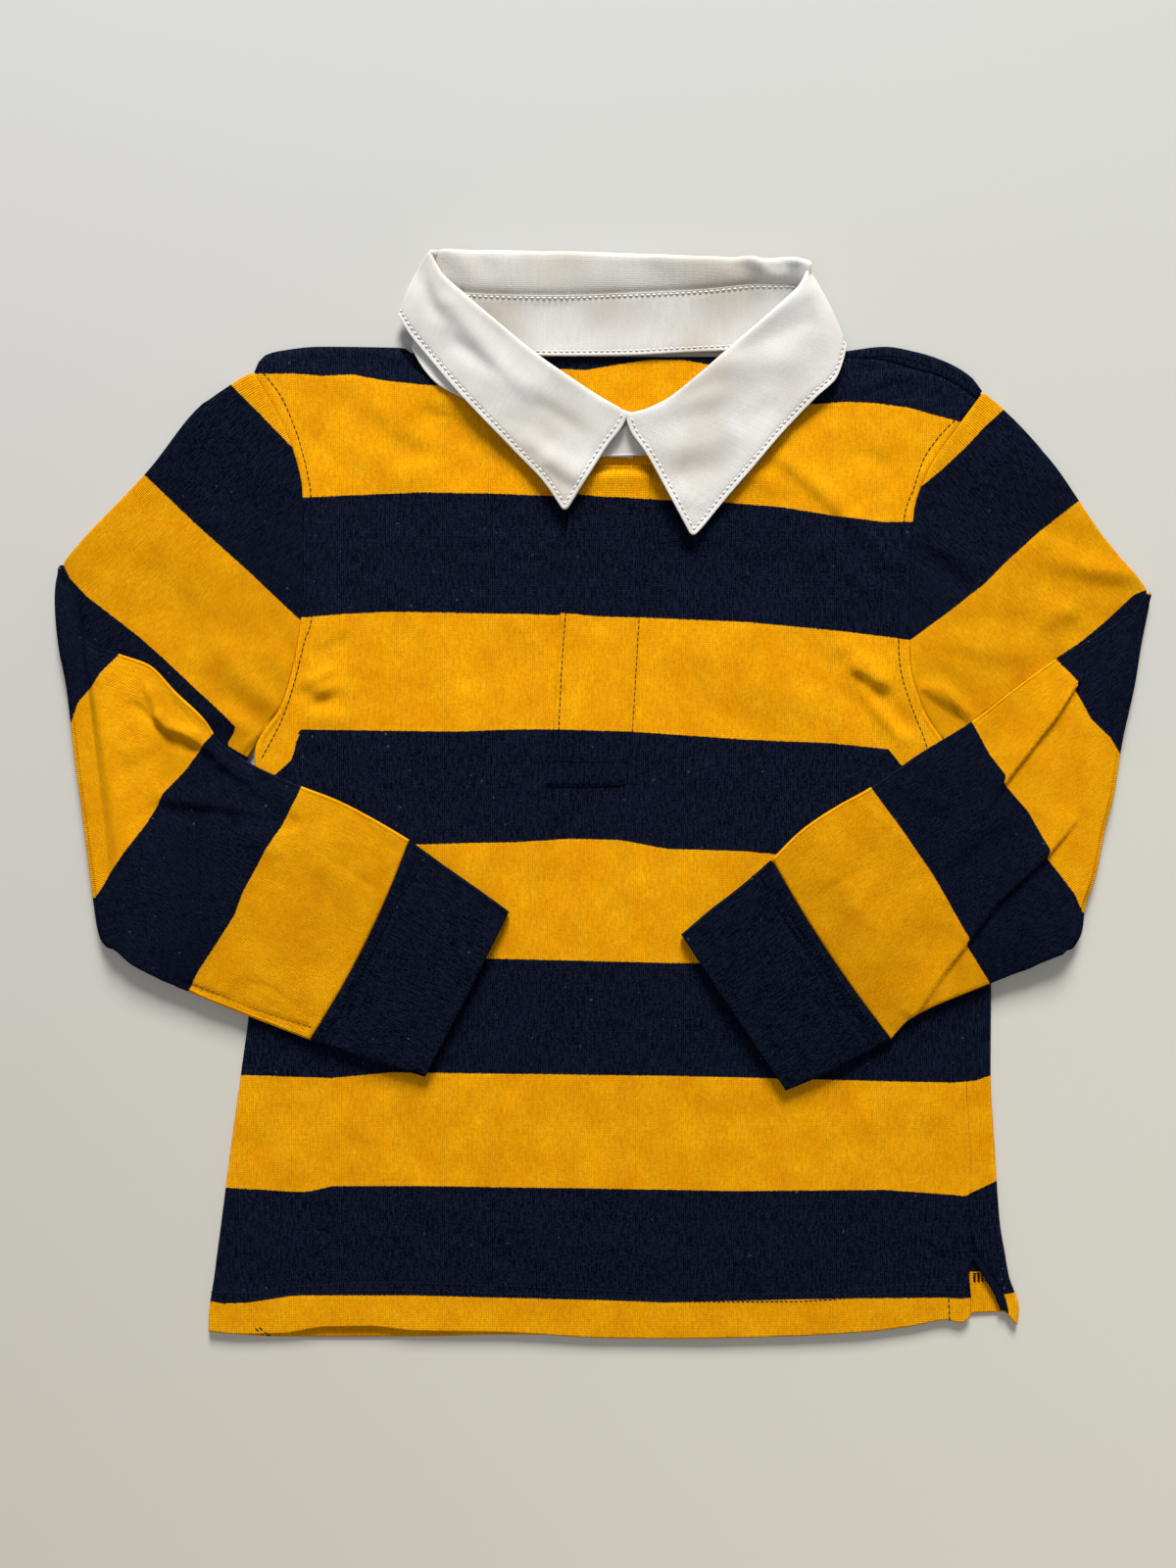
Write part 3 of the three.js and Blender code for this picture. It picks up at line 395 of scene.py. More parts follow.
def creases(rows, x, y):
    """Height of soft troughs and ridges: each fades at its ends and has its own two widths."""
    total = np.zeros(np.broadcast(x, y).shape)
    for values in rows:
        row = dict(zip(CREASE_NAMES, values))
        left_share = GENTLE if (row["bx"] > row["ax"]) == (row["height"] > 0) else STEEP
        left = row["left"] * CREASE_WIDTH * left_share
        right = row["right"] * CREASE_WIDTH * (GENTLE + STEEP - left_share)
        off, along = segment_distance(x, y, row["ax"], row["ay"], row["bx"], row["by"])
        ends = smooth_step(-CREASE_FADE, CREASE_FADE, along)
        ends = ends * smooth_step(1 + CREASE_FADE, 1 - CREASE_FADE, along)
        width = np.where(off > 0, left, right)
        total = total + row["height"] * CREASE_DEPTH * ends * np.exp(-((off / width) ** 2))
    return total


def across(lines):
    """Lines of x and y as lines of y and x."""
    return [[(y, x) for x, y in line] for line in lines]


def waves(x, y, *rows):
    """A rolling surface from rows of height, size and seed."""
    return sum(height * wave_noise(x, y, size, seed) for height, size, seed in rows)


def hoop_values(u, w, lines):
    """The hoop number at u across lines that are tables of w and u, u falling from line to line."""
    edges = []
    for line in lines:
        table = sorted((b, a) for a, b in line)
        ws = np.array([p[0] for p in table]) + np.arange(len(table)) * 1e-6
        edges.append(np.interp(w, ws, [p[1] for p in table]))
    edges = np.array(edges)
    value = np.zeros(np.shape(u))
    count = len(lines)
    for i in range(count - 1):
        span = edges[i] - edges[i + 1]
        inside = (u <= edges[i]) & (u > edges[i + 1])
        value = np.where(inside, i + (edges[i] - u) / np.maximum(span, 1e-6), value)
    value = np.where(u > edges[0], (edges[0] - u) / HOOP_DEPTH, value)
    return np.where(u <= edges[-1], count - 1 + (edges[-1] - u) / HOOP_DEPTH, value)


def local_lines(lines, origin, axis):
    """Plan lines as (distance along the axis, distance across it)."""
    ax, ay = axis
    result = []
    for line in lines:
        rows = []
        for x, y in line:
            dx, dy = x - origin[0], y - origin[1]
            rows.append((-(dx * ax + dy * ay), dx * -ay + dy * ax))
        result.append(rows)
    return result


def hoops_along(x, y, lines, origin, axis):
    ax, ay = axis
    u = -((x - origin[0]) * ax + (y - origin[1]) * ay)
    w = (x - origin[0]) * -ay + (y - origin[1]) * ax
    return hoop_values(u, w, local_lines(lines, origin, axis))


# Mesh making.

def grid_normals(grid, closed):
    up = np.empty_like(grid)
    up[1:-1] = grid[2:] - grid[:-2]
    up[0], up[-1] = grid[1] - grid[0], grid[-1] - grid[-2]
    if closed:
        across = np.roll(grid, -1, axis=1) - np.roll(grid, 1, axis=1)
    else:
        across = np.empty_like(grid)
        across[:, 1:-1] = grid[:, 2:] - grid[:, :-2]
        across[:, 0], across[:, -1] = grid[:, 1] - grid[:, 0], grid[:, -1] - grid[:, -2]
    normal = np.cross(across, up)
    return normal / np.maximum(np.linalg.norm(normal, axis=2, keepdims=True), 1e-9)


def cloth(name, grid, thickness, material, closed=False, hoop=None, weave=None, flip=False):
    """A closed cloth wall on a grid of mid-surface places, with its hoop numbers and weave map."""
    rows, cols = grid.shape[:2]
    normals = grid_normals(grid, closed) * (-1 if flip else 1)
    half = np.broadcast_to(np.asarray(thickness, float), (rows, cols))[..., None] / 2
    verts = np.concatenate([(grid + normals * half).reshape(-1, 3), (grid - normals * half).reshape(-1, 3)])
    under = rows * cols
    i = np.arange(rows - 1)[:, None]
    j = np.arange(cols if closed else cols - 1)[None, :]
    a = (i * cols + j).ravel()
    b = (i * cols + (j + 1) % cols).ravel()
    faces = [np.stack([a, b, b + cols, a + cols], 1), np.stack([a, a + cols, b + cols, b], 1) + under]
    j = j.ravel()
    k = (j + 1) % cols
    top = (rows - 1) * cols
    faces.append(np.stack([j, j + under, k + under, k], 1))
    faces.append(np.stack([j + top, k + top, k + top + under, j + top + under], 1))
    if not closed:
        r = np.arange(rows - 1) * cols
        s = r + cols - 1
        faces.append(np.stack([r, r + cols, r + cols + under, r + under], 1))
        faces.append(np.stack([s, s + under, s + cols + under, s + cols], 1))
    faces = np.concatenate(faces)
    if flip:
        faces = faces[:, ::-1]
    mesh = bpy.data.meshes.new(name)
    mesh.from_pydata((verts * MM).tolist(), [], faces.tolist())
    mesh.polygons.foreach_set("use_smooth", np.ones(len(faces), bool))
    if hoop is not None:
        layer = mesh.attributes.new("hoop", "FLOAT", "POINT")
        layer.data.foreach_set("value", np.tile(np.asarray(hoop, float).ravel(), 2))
    if weave is None:
        weave = grid[..., :2]
    uv = np.tile(np.asarray(weave, float).reshape(-1, 2), (2, 1)) * MM
    loops = np.zeros(len(mesh.loops), int)
    mesh.loops.foreach_get("vertex_index", loops)
    layer = mesh.uv_layers.new(name="weave")
    layer.data.foreach_set("uv", uv[loops].ravel())
    mesh.materials.append(material)
    mesh.validate()
    mesh.update()
    piece = bpy.data.objects.new(name, mesh)
    bpy.context.scene.collection.objects.link(piece)
    return piece


# Body.

TOP = len(BODY) - 1
UNDERARM = [row[BODY_NAMES.index("closed")] for row in BODY].index(0)
LAST_ROW = math.hypot(BODY[TOP][0] - BODY[TOP - 1][0], BODY[TOP][1] - BODY[TOP - 1][1])
body_at = by_row(BODY, BODY_NAMES)
shoulder_y = soft_curve(column(SHOULDER, SHOULDER_NAMES, "x"), column(SHOULDER, SHOULDER_NAMES, "y"))
shoulder_over = soft_curve(column(SHOULDER, SHOULDER_NAMES, "x"), column(SHOULDER, SHOULDER_NAMES, "over"))


def table_curve(points):
    return soft_curve([p[0] for p in points], [p[1] for p in points])


hem_front, hem_back, neck_front = table_curve(HEM_FRONT), table_curve(HEM_BACK), table_curve(NECK_FRONT)


def body_y(t, x, hem_line):
    """Height on the plan of the station t at x."""
    row = {name: body_at[name](t) for name in BODY_NAMES}
    share = np.clip((x - row["lx"]) / (row["rx"] - row["lx"]), 0, 1)
    straight = mix(row["ly"], row["ry"], (x - row["lx"]) / (row["rx"] - row["lx"]))
    first, last = BODY[0], BODY[TOP]
    hem = hem_line(mix(first[0], first[2], share)) - mix(first[1], first[3], share)
    top = shoulder_y(mix(last[0], last[2], share)) - mix(last[1], last[3], share)
    return straight + row["hem"] * hem + row["shoulder"] * top


def drawn_in(x, t, t_back):
    """Keeps the sides on the armholes where rows are drawn down from the shoulder line."""
    for side, inner in (("lx", -100), ("rx", 100)):
        edge = body_at[side](t)
        x = x + (body_at[side](t_back) - edge) * np.clip((x - inner) / (edge - inner), 0, 1)
    return x


# Troughs (negative) and ridges on the front: both ends, height, and its width to the left and
# right of its own direction.
FRONT_CREASES = (
    (155.4, -88, 160.6, -200, -1.0, 1.0, 1.3),
    (152.6, -88, 157.8, -200, 0.45, 2.2, 1.8),
    (-14, 141.6, 26, 141.6, -0.9, 1.6, 1.6),
    (-14, 138.4, 26, 138.4, 0.7, 2.2, 7),
    (-144, 183, -72, 178, 0.8, 4, 32),
    (66, 174, 150, 167, 0.4, 4, 28),
    (-130, 48, -118, 54, 1.2, 3.2, 3.2),
    (-134, 44, -122, 40, -0.8, 3, 3),
    (-126, 60, -112, 66, -0.6, 4, 4),
    (-130, 34, -112, 30, 0.6, 4, 4),
    (110, 56, 124, 46, 1.1, 4, 4),
    (118, 38, 132, 22, 1.3, 4, 4),
    (104, 44, 118, 34, -0.6, 5, 5),
    (60, 50, 98, 34, 0.5, 9, 9),
    (74, 66, 110, 56, -0.4, 8, 8),
    (-118, 172, -96, 158, -0.5, 7, 7),
    (-104, 168, -74, 150, 0.6, 8, 8),
    (-92, 152, -60, 140, -0.5, 7, 7),
    (-70, 132, -40, 126, 0.5, 8, 8),
    (52, 150, 76, 132, 0.7, 6, 6),
    (110, 150, 128, 140, -0.5, 6, 6),
    (-60, 44, -56, 16, 0.5, 6, 7),
    (0, -40, -4, -70, 0.4, 7, 7),
    (-110, -90, -90, -128, -0.4, 10, 10),
    (-130, -84, -112, -112, 0.4, 9, 9),
    (-30, -86, -10, -118, -0.4, 10, 10),
    (96, -92, 128, -120, 0.4, 10, 10),
    (40, -98, 64, -122, -0.35, 9, 9),
    (-112, -140, -96, -170, 0.4, 8, 8),
    (-130, -182, -108, -210, -0.4, 8, 8),
    (-40, -176, -20, -214, 0.35, 9, 9),
    (76, -182, 100, -214, 0.35, 9, 9),
    (112, -180, 126, -206, -0.35, 7, 7),
    (77, 147, 94, 132.5, 0.95, 6, 4),
    (93, 133.5, 110, 117, 1.05, 6, 4),
    (109, 118, 127, 97.5, 0.85, 5, 4),
    (96, 112, 118, 92, 0.4, 7, 6),
    (60, 112, 100, 92, -0.5, 8, 9),
    (104, 96, 128, 84, 0.6, 6, 7),
    (40, 116, 70, 104, 0.45, 8, 8),
    (-80, 166, -53, 156, -0.8, 6, 8),
    (-134, 160, -86, 122, -0.5, 10, 12),
    (-120, 150, -70, 136, 0.5, 9, 9),
    (112, 52, 124, 40, -1.2, 5, 4),
    (124, 40, 134, 26, -1.1, 5, 5),
    (104, 66, 120, 44, 0.9, 6, 6),
    (-129, 50, -117, 58, -0.9, 4, 4),
    (-130, 42, -113, 45, 0.7, 4, 5),
    (-128, 36, -116, 44, -0.8, 4, 4),
    (-40, 66, -46, 24, -0.8, 8, 10),
    (-46, 24, -52, -20, -0.6, 8, 9),
    (-30, 74, -38, 30, 0.5, 7, 7),
    (-14, 14, -8, -20, -0.6, 7, 8),
    (-36, 0, -60, -20, -0.5, 8, 8),
    (36, 8, 60, 2, 0.4, 9, 9),
    (20, 62, 78, 58, 0.35, 12, 10),
    (38, 40, 82, 22, -0.4, 9, 9),
    (-100, 112, -40, 104, 0.3, 14, 12),
    (30, 108, 90, 92, -0.35, 10, 14),
    (-146, -160, -138, -172, 0.6, 8, 8),
    (-150, -150, -136, -180, -0.5, 7, 9),
    (-90, -140, -78, -160, -0.4, 9, 9),
    (-20, -136, 4, -158, -0.35, 10, 9),
    (60, -138, 92, -164, -0.35, 11, 10),
    (92, -150, 146, -140, 0.35, 10, 10),
    (-60, -190, 10, -196, 0.3, 14, 12),
    (30, -186, 120, -196, -0.3, 12, 14),
    (140, -184, 150, -214, -0.4, 7, 7),
    (-24, -34, -30, -66, -0.4, 7, 8),
    (10, -36, 22, -64, 0.35, 8, 8),
    (-70, -44, -40, -60, 0.4, 8, 8),
    (106, 175.5, 124, 180, 0.7, 4, 3.6),
    (122, 180.5, 138, 182.5, 0.6, 4, 3.6),
    (60, 168, 98, 168, -0.6, 6, 7),
)
FOREARM_SHADE = (
    ((-150, 12), (-80, -20), (-40, -52), (-78, -128), (-130, -112), (-160, -100)),
    ((150, 24), (88, -15), (34, -62), (80, -134), (126, -110), (172, -86)),
)


def under_forearms(x, y):
    """1 where a forearm lies on the body, else 0, softly."""
    most = np.zeros(np.broadcast(x, y).shape)
    for outline in FOREARM_SHADE:
        least = np.full(most.shape, 1e9)
        for (ax, ay), (bx, by) in zip(outline, outline[1:] + outline[:1]):
            off, _ = segment_distance(x, y, ax, ay, bx, by)
            least = np.minimum(least, -off if outline[0][0] < 0 else off)
        most = np.maximum(most, smooth_step(-9, 1, least))
    return most


def front_relief(x, y):
    """Height of the front's creases and rolling, flat under the forearms, with the hem's band."""
    free = 1 - under_forearms(x, y)
    shape = creases(FRONT_CREASES, x, y)
    shape = shape + waves(x, y, (0.65, 46, 1), (0.45, 19, 2), (0.17, 8, 3))
    shape = shape + 0.55 * soft_folds(x, y, 44, 0.5, 61) - 0.5 * soft_folds(x, y, 38, -0.6, 67)
    hem = hem_front(x)
    band = smooth_step(hem + 22, hem + 17, y)
    groove = -0.25 * np.exp(-(((y - hem - 19.5) / 1.6) ** 2))
    return np.clip(shape, -1.05, 2.3) * free * (1 - 0.4 * band) + 0.12 * band + groove


# The y from which the front's rows are squeezed towards the neck.
CHEST_Y = 96.0
SIDE_RADIUS = 1.25


def side_profile(count):
    """Insets from the silhouette and turns, from the seam in the middle to the flat layer."""
    angle = np.radians(np.linspace(12, 90, count))
    return 0.45 + SIDE_RADIUS * (1 - np.cos(angle)), np.sin(angle)


def seam_edge(distance, stitched):
    """An edge that dips into its seam, with the ridge and groove of a topstitched allowance."""
    dip = -0.32 * np.exp(-((distance / 0.55) ** 2))
    ridge = 0.26 * np.exp(-(((distance - 1.5) / 1.0) ** 2))
    groove = -0.34 * np.exp(-(((distance - 2.7) / 0.55) ** 2))
    return dip + (ridge + groove) * stitched


def front_rows():
    """Plan x, station and turn of the front's points, from the left edge to the right seam."""
    stations = np.concatenate([np.linspace(0, 4, 46), np.linspace(4, TOP, 178)[1:]])
    inset, turn = side_profile(6)
    open_inset = np.array([0.04, 0.35, 0.75, 1.2, 1.8, 2.6])
    middle = np.concatenate([np.linspace(0, 0.985, 176), [0.9885, 0.9915, 0.9945, 0.9965, 0.9985, 1]])
    rows, turns = [], []
    for t in stations:
        row = {name: float(body_at[name](t)) for name in BODY_NAMES}
        closed = row["closed"]
        left = row["lx"] + mix(open_inset, inset, closed)
        end = row["rx"] - max(row["wrap"], 0.6 * closed) - row["gap"] - CLOSE
        rows.append(np.concatenate([left, mix(left[-1] + 1.5, end, middle)]))
        turns.append(np.concatenate([mix(1, turn, closed), np.ones(len(middle))]))
    x = np.array(rows)
    return x, np.broadcast_to(stations[:, None], x.shape), np.array(turns)


def front_panel(material):
    x, t, turns = front_rows()
    over = shoulder_over(x)
    depth = np.where(over > 0.01, np.maximum(over + CLOSE * (over > 1.2), 0.7 * np.clip(over, 0, 1)), 0)
    near_top = smooth_step(TOP - 2.5, TOP, t)
    t_back = t - near_top * depth / LAST_ROW
    x = drawn_in(x, t, t_back)
    y = body_y(t_back, x, hem_front)

    # the rows over the chest are squeezed so that the last one lies on the neck
    old_top = body_y(TOP - depth / LAST_ROW, x, hem_front)
    new_top = np.minimum(old_top, np.where((x > -91) & (x < 107), neck_front(x), 1e3))
    y = np.where(y > CHEST_Y, CHEST_Y + (y - CHEST_Y) * (new_top - CHEST_Y) / (old_top - CHEST_Y), y)

    z = TUBE_MID + LAYER * turns
    rounded = smooth_step(2.6, 0.2, old_top - body_y(t_back, x, hem_front)) * (over > 0.3) * (over < 1.4)
    z = z - 0.95 * rounded * ((x < -88) | (x > 106))
    relief = front_relief(x, y) * smooth_step(0.6, 1, turns) * smooth_step(0, 1, turns)
    opened = 1 - body_at["closed"](t)
    from_left = np.where(opened > 0.5, x - x[:, :1], 99)
    from_right = x[:, -1:] - x
    from_top = np.where(over > 1.2, new_top - y, 99)
    relief = relief * smooth_step(0, 4, np.minimum(np.minimum(from_left, from_right), from_top))
    relief = relief + seam_edge(from_left, 1) + seam_edge(from_right, opened) + seam_edge(from_top, 0)
    hoop = hoop_values(y, x, across(FRONT_HOOPS))
    grid = at(x, y, z + relief)
    return cloth("front", grid, JERSEY, material, hoop=hoop, weave=np.stack([x, y], -1))


def back_row(t):
    """Plan x and turn along the back: left side, middle, right side and the flap on the front."""
    inset, turn = side_profile(6)
    middle = np.linspace(0, 1, 110)
    row = {name: float(body_at[name](t)) for name in BODY_NAMES}
    closed = row["closed"]
    left = row["lx"] + mix(0.1 + inset * 0.3, inset, closed)
    wrap_share = min(row["wrap"] / 3.0, 1.0)
    inner = row["rx"] - 14
    edge = row["rx"] - mix(0.04, 0.45, closed)
    side = np.linspace(inner + 1.5, edge - SIDE_RADIUS, 8)[:-1]
    angle = np.linspace(-math.pi / 2, mix(-math.pi / 2, math.pi / 2, wrap_share), 11)
    round_x = edge - SIDE_RADIUS * (1 - np.cos(angle)) * mix(0.3, 1, closed)
    round_turn = np.sin(angle) * closed - (1 - closed)
    last = round_x[-1] - 0.02
    reach = mix(last, min(row["rx"] - row["wrap"] + CLOSE, last), wrap_share)
    flap = mix(round_x[-1], reach, np.linspace(0, 1, 8)[1:])
    x = np.concatenate([left, mix(left[-1] + 1.5, inner, middle), side, round_x, flap])
    turns = np.concatenate([
        mix(-1, -turn, closed), -np.ones(len(middle) + len(side)), round_turn, np.full(7, round_turn[-1]),
    ])
    return x, turns


def over_shoulders():
    """The back's last rows: up to the shoulder line, round it and over to the seam on the front."""
    top_x, _ = back_row(TOP)
    over = shoulder_over(top_x)
    has = smooth_step(0.2, 0.9, over)
    wide = smooth_step(1.2, 2.4, over)
    rows = []

    def add(place, x, turns, drop=0.0):
        y = body_y(np.full(len(x), place) if np.isscalar(place) else place, x, hem_back)
        rows.append((x, y, TUBE_MID + LAYER * turns - drop))

    for share in (0.35, 0.62, 0.82, 0.92):
        place = mix(TOP - 0.5, TOP - 1.7 / LAST_ROW, share)
        add(place, *back_row(place))
    for angle in np.radians(np.linspace(-80, 90, 9)):
        turns = mix(-1, np.minimum(np.sin(angle), mix(-0.25, 1, wide)), has)
        cosine = np.sqrt(np.maximum(0, 1 - np.minimum(turns, 1) ** 2))
        place = TOP - (0.45 + 1.2 * (1 - cosine)) / LAST_ROW
        add(place, drawn_in(top_x, TOP, place), turns)
    for share in (0.25, 0.5, 0.75, 1.0):
        place = TOP - (0.45 + 1.2 + share * np.maximum(over - CLOSE - 1.65, 0) * wide) / LAST_ROW
        turns = mix(-1, mix(-0.25, 1, wide), has)
        add(place, drawn_in(top_x, TOP, place), turns, 0.3 * wide * (share == 1.0))
    return [np.array(part) for part in zip(*rows)]


def back_hoops(x, y, z):
    """Hoop numbers of the back, with its own lines inside the neck and at the right vent."""
    flat = z < TUBE_MID
    hoop = hoop_values(y, x, across(FRONT_HOOPS))
    neck = hoop_values(y, x, across((BACK_NECK_HOOP,) + FRONT_HOOPS[1:]))
    hoop = np.where((x > -60) & (x < 75) & (y > 120), neck, hoop)
    vent = hoop_values(y, x, across(FRONT_HOOPS[:-1] + (BACK_VENT_HOOP,)))
    hoop = np.where((x > 155) & (y < -180) & flat, vent, hoop)
    return np.where((y > 150) & ~flat & (x > 60), -0.5, hoop)


def back_panel(material):
    stations = np.concatenate([np.linspace(0, 4, 44), np.linspace(4, TOP - 0.5, 106)[1:]])
    x, turns = (np.array(part) for part in zip(*(back_row(t) for t in stations)))
    y = body_y(np.broadcast_to(stations[:, None], x.shape), x, hem_back)
    last_x, last_y, last_z = over_shoulders()
    x, y = np.vstack([x, last_x]), np.vstack([y, last_y])
    z = np.vstack([TUBE_MID + LAYER * turns, last_z])
    hoop = back_hoops(x, y, z)
    z[:, -1] -= np.where(z[:, -1] > 2.5, 0.3, 0)
    grid = at(x, y, z)
    return cloth("back", grid, JERSEY, material, hoop=hoop, weave=np.stack([x, y], -1), flip=False)


# Sleeves and cuffs.

RIGHT_CREASES = (
    (234, 80, 214, 71, -1.0, 3.6, 3.6),
    (222, 62, 231, 40, -0.5, 5, 6),
    (208, 10, 214, -20, -0.5, 8, 8),
    (178, -20, 154, -38, -0.7, 7, 8),
    (172, -10, 150, -30, 0.5, 6, 6),
    (140, 4, 150, -16, -0.4, 6, 6),
    (112, -24, 132, -48, -0.35, 8, 8),
    (98, -30, 116, -60, 0.35, 8, 8),
    (150, -62, 138, -84, -0.4, 6, 6),
    (196, -44, 186, -62, 0.5, 8, 8),
)
KNIFE_RIGHT = (
    (208.5, 49, 198, 33, 11, 1.1, 2.2),
    (198, 33, 175, 3.5, 13, 1.1, 2.3),
    (175, 3.5, 165, -11, 9, 2.2, 1.2),
    (224, 14, 207, -13, 13, 2.2, 1.2),
    (207, -13, 194.5, -27.5, 15, 1.1, 2.2),
    (194.5, -27.5, 171, -50, 15, 1.1, 2.4),
    (171, -50, 159.5, -66, 13, 1.1, 2.3),
    (159.5, -66, 149, -79, 11, 1.4, 1.7),
    (149, -79, 136, -98, 10, 1.8, 1.4),
)
LEFT_CREASES = (
    (-232, 66, -221, 48, 1.0, 5, 5),
    (-236, 84, -222, 52, -0.6, 4, 5),
    (-206, 38.5, -196.5, 29.2, -0.7, 2.2, 2.4),
    (-197, 29.6, -189.5, 22.2, -0.9, 2.0, 2.2),
    (-190, 22.2, -178.5, 19.4, -1.0, 1.8, 2.2),
    (-200, 46, -193, 31, 1.0, 3.2, 3.0),
    (-196, 33, -190, 27, 1.1, 2.6, 1.8),
    (-191, 27.5, -179, 24, 1.5, 2.8, 1.8),
    (-188, 45, -176, 31, 0.9, 4.5, 3.5),
    (-182, 38, -172, 27, -0.5, 3, 3),
    (-182, 25, -172, 17, 1.5, 2.6, 3),
    (-177, 22, -170, 8, -0.9, 3, 3.2),
    (-170, 16, -158, 4, 1.1, 3.4, 3.4),
    (-164, 10, -152, -6, -0.7, 3.4, 3.6),
    (-196, -7.5, -180, -10.5, -0.9, 3.4, 3),
    (-182, -10, -162, -13, -1.1, 3.2, 3),
    (-164, -12.5, -136, -15, -0.8, 3.6, 3),
    (-194, -2, -160, -7, 0.8, 4, 4.6),
    (-158, -20, -140, -28, 0.5, 5, 5),
    (-150, -6, -134, -14, -0.5, 4, 4),
    (-216, 24, -204, 14, 0.5, 6, 6),
    (-210, 10, -196, -20, -0.5, 10, 10),
    (-216, -20, -200, -50, 0.4, 10, 10),
    (-170, -40, -150, -70, -0.35, 9, 9),
    (-128, -20, -112, -50, 0.4, 8, 8),
    (-120, -40, -108, -74, -0.4, 8, 8),
    (-186, -83, -152, -96.8, -0.7, 1.4, 1.4),
    (-152, -96.8, -128, -104.4, -0.7, 1.4, 1.4),
)
UPPER_LEFT_CREASES = (
    (-178, 74, -158, 52, 0.6, 7, 7),
    (-190, 84, -172, 66, -0.5, 7, 7),
    (-150, 60, -138, 50, 0.5, 6, 6),
    (-147, 30, -139, 24, -0.8, 3, 3),
    (-200, 100, -160, 60, -0.4, 12, 12),
    (-210, 116, -176, 96, 0.4, 12, 12),
    (-172, 62, -150, 40, 0.7, 8, 8),
    (-160, 44, -152, 26, -0.8, 6, 6),
    (-150, 44, -143, 34, 0.7, 4, 4),
    (-170, 34, -154, 26, 1.1, 4, 5),
    (-178, 150, -150, 120, -0.4, 12, 12),
)
UPPER_RIGHT_CREASES = (
    (137, 107, 150, 97, -0.9, 4, 5),
    (148, 97, 160, 88, -0.7, 4, 5),
    (144, 110, 164, 96, 0.7, 5, 5),
    (196, 100.5, 214, 96, 1.0, 6, 5),
    (211, 97, 238, 92.5, 1.25, 4, 4.5),
    (192, 72, 208, 79, 0.6, 5, 4),
    (206, 85, 226, 80, 0.4, 5, 5),
    (160, 92, 190, 97, 0.35, 7, 8),
    (199, 77, 210, 67, -0.4, 4, 4.5),
    (190, 84, 204, 76, 0.5, 6, 5),
    (196, 88, 214, 80, -0.25, 6, 6),
    (152, 80, 186, 84, 0.4, 9, 8),
    (142, 67, 188, 58, 0.65, 7, 7),
    (137, 50, 150, 40, -0.6, 4, 4),
    (139, 46, 152, 38, 1.0, 3, 3),
    (140, 46, 150, 43, 0.7, 2.6, 2.2),
    (149, 43.4, 160.5, 32, 1.25, 2.6, 1.7),
    (146, 39, 155, 31, -0.4, 3.4, 3.4),
    (144, 60, 160, 50, 0.6, 5, 5),
    (176, 100, 196, 110, 0.5, 8, 8),
    (150, 140, 180, 112, -0.4, 10, 10),
    (168, 154, 200, 128, 0.4, 8, 8),
)
UP = np.array([0.0, 0.0, 1.0])


def knife_folds(rows, x, y):
    """Folds that rise slowly on their upper left and drop steeply on their lower right."""
    total = np.zeros(np.broadcast(x, y).shape)
    for ax, ay, bx, by, slope, drop, height in rows:
        off, along = segment_distance(x, y, ax, ay, bx, by)
        off = -off
        ends = smooth_step(-0.16, 0.02, along) * smooth_step(1.16, 0.98, along)
        rise = np.where(off > 0, np.clip(1 - off / slope, 0, 1) ** 1.4, 1 - smooth_step(0, drop, -off))
        total = np.maximum(total, height * ends * rise)
    return total


ARM_COLUMNS, LAST_HOOP = 92, 6.9


def bowed(row, q, outward):
    """Plan places across a flattened tube, from edge a to edge b, bowed towards the wrist."""
    dx, dy = row["bx"] - row["ax"], row["by"] - row["ay"]
    bow = -outward * 4 * row["bow"] * q * (1 - q) / math.hypot(dx, dy)
    return mix(row["ax"], row["bx"], q) - dy * bow, mix(row["ay"], row["by"], q) + dx * bow


def tube_dome(q):
    """How far up a flattened tube's face stands between its edges, from 0 to 1."""
    return 1 - (2 * q - 1) ** 4


def tube_rings(shaped, normals, half, dome, columns, thickness):
    """Rings of a flattened tube. shaped(q) gives each ring's mid line, normals its direction up."""
    cap = np.radians(np.array([-60, -30, 0, 30, 60]))
    q_line = np.linspace(0, 1, columns)
    rings, tops = [], []
    for line, normal in zip(shaped, normals):
        length = np.linalg.norm(line(np.array([1.0]))[0] - line(np.array([0.0]))[0])
        edge = (half + thickness / 2) / length
        start = thickness / 2 / length
        qs = np.concatenate([
            start + half / length * (1 - np.cos(cap)),
            mix(edge, 1 - edge, q_line),
            1 - start - half / length * (1 - np.cos(cap[::-1])),
            mix(edge, 1 - edge, q_line[::-1]),
        ])
        offs = np.concatenate([
            half * np.sin(cap), np.full(columns, half), half * np.sin(cap[::-1]), np.full(columns, -half),
        ])
        body = np.concatenate([
            np.zeros(5), dome(q_line), np.zeros(5), np.zeros(columns),
        ])
        rings.append(line(qs) + offs[:, None] * normal)
        tops.append((qs, offs, body))
    return np.array(rings), tops


def armhole_line(side):
    """The armhole's seam, on the edge of the body; place(q) is the point at the share q."""
    t = np.linspace(TOP, UNDERARM, 240)
    x = body_at[side](t)
    y = body_y(t, x, hem_front)
    length = np.concatenate([[0], np.cumsum(np.hypot(np.diff(x), np.diff(y)))])
    share = length / length[-1]
    return lambda q: (np.interp(q, share, x), np.interp(q, share, y))


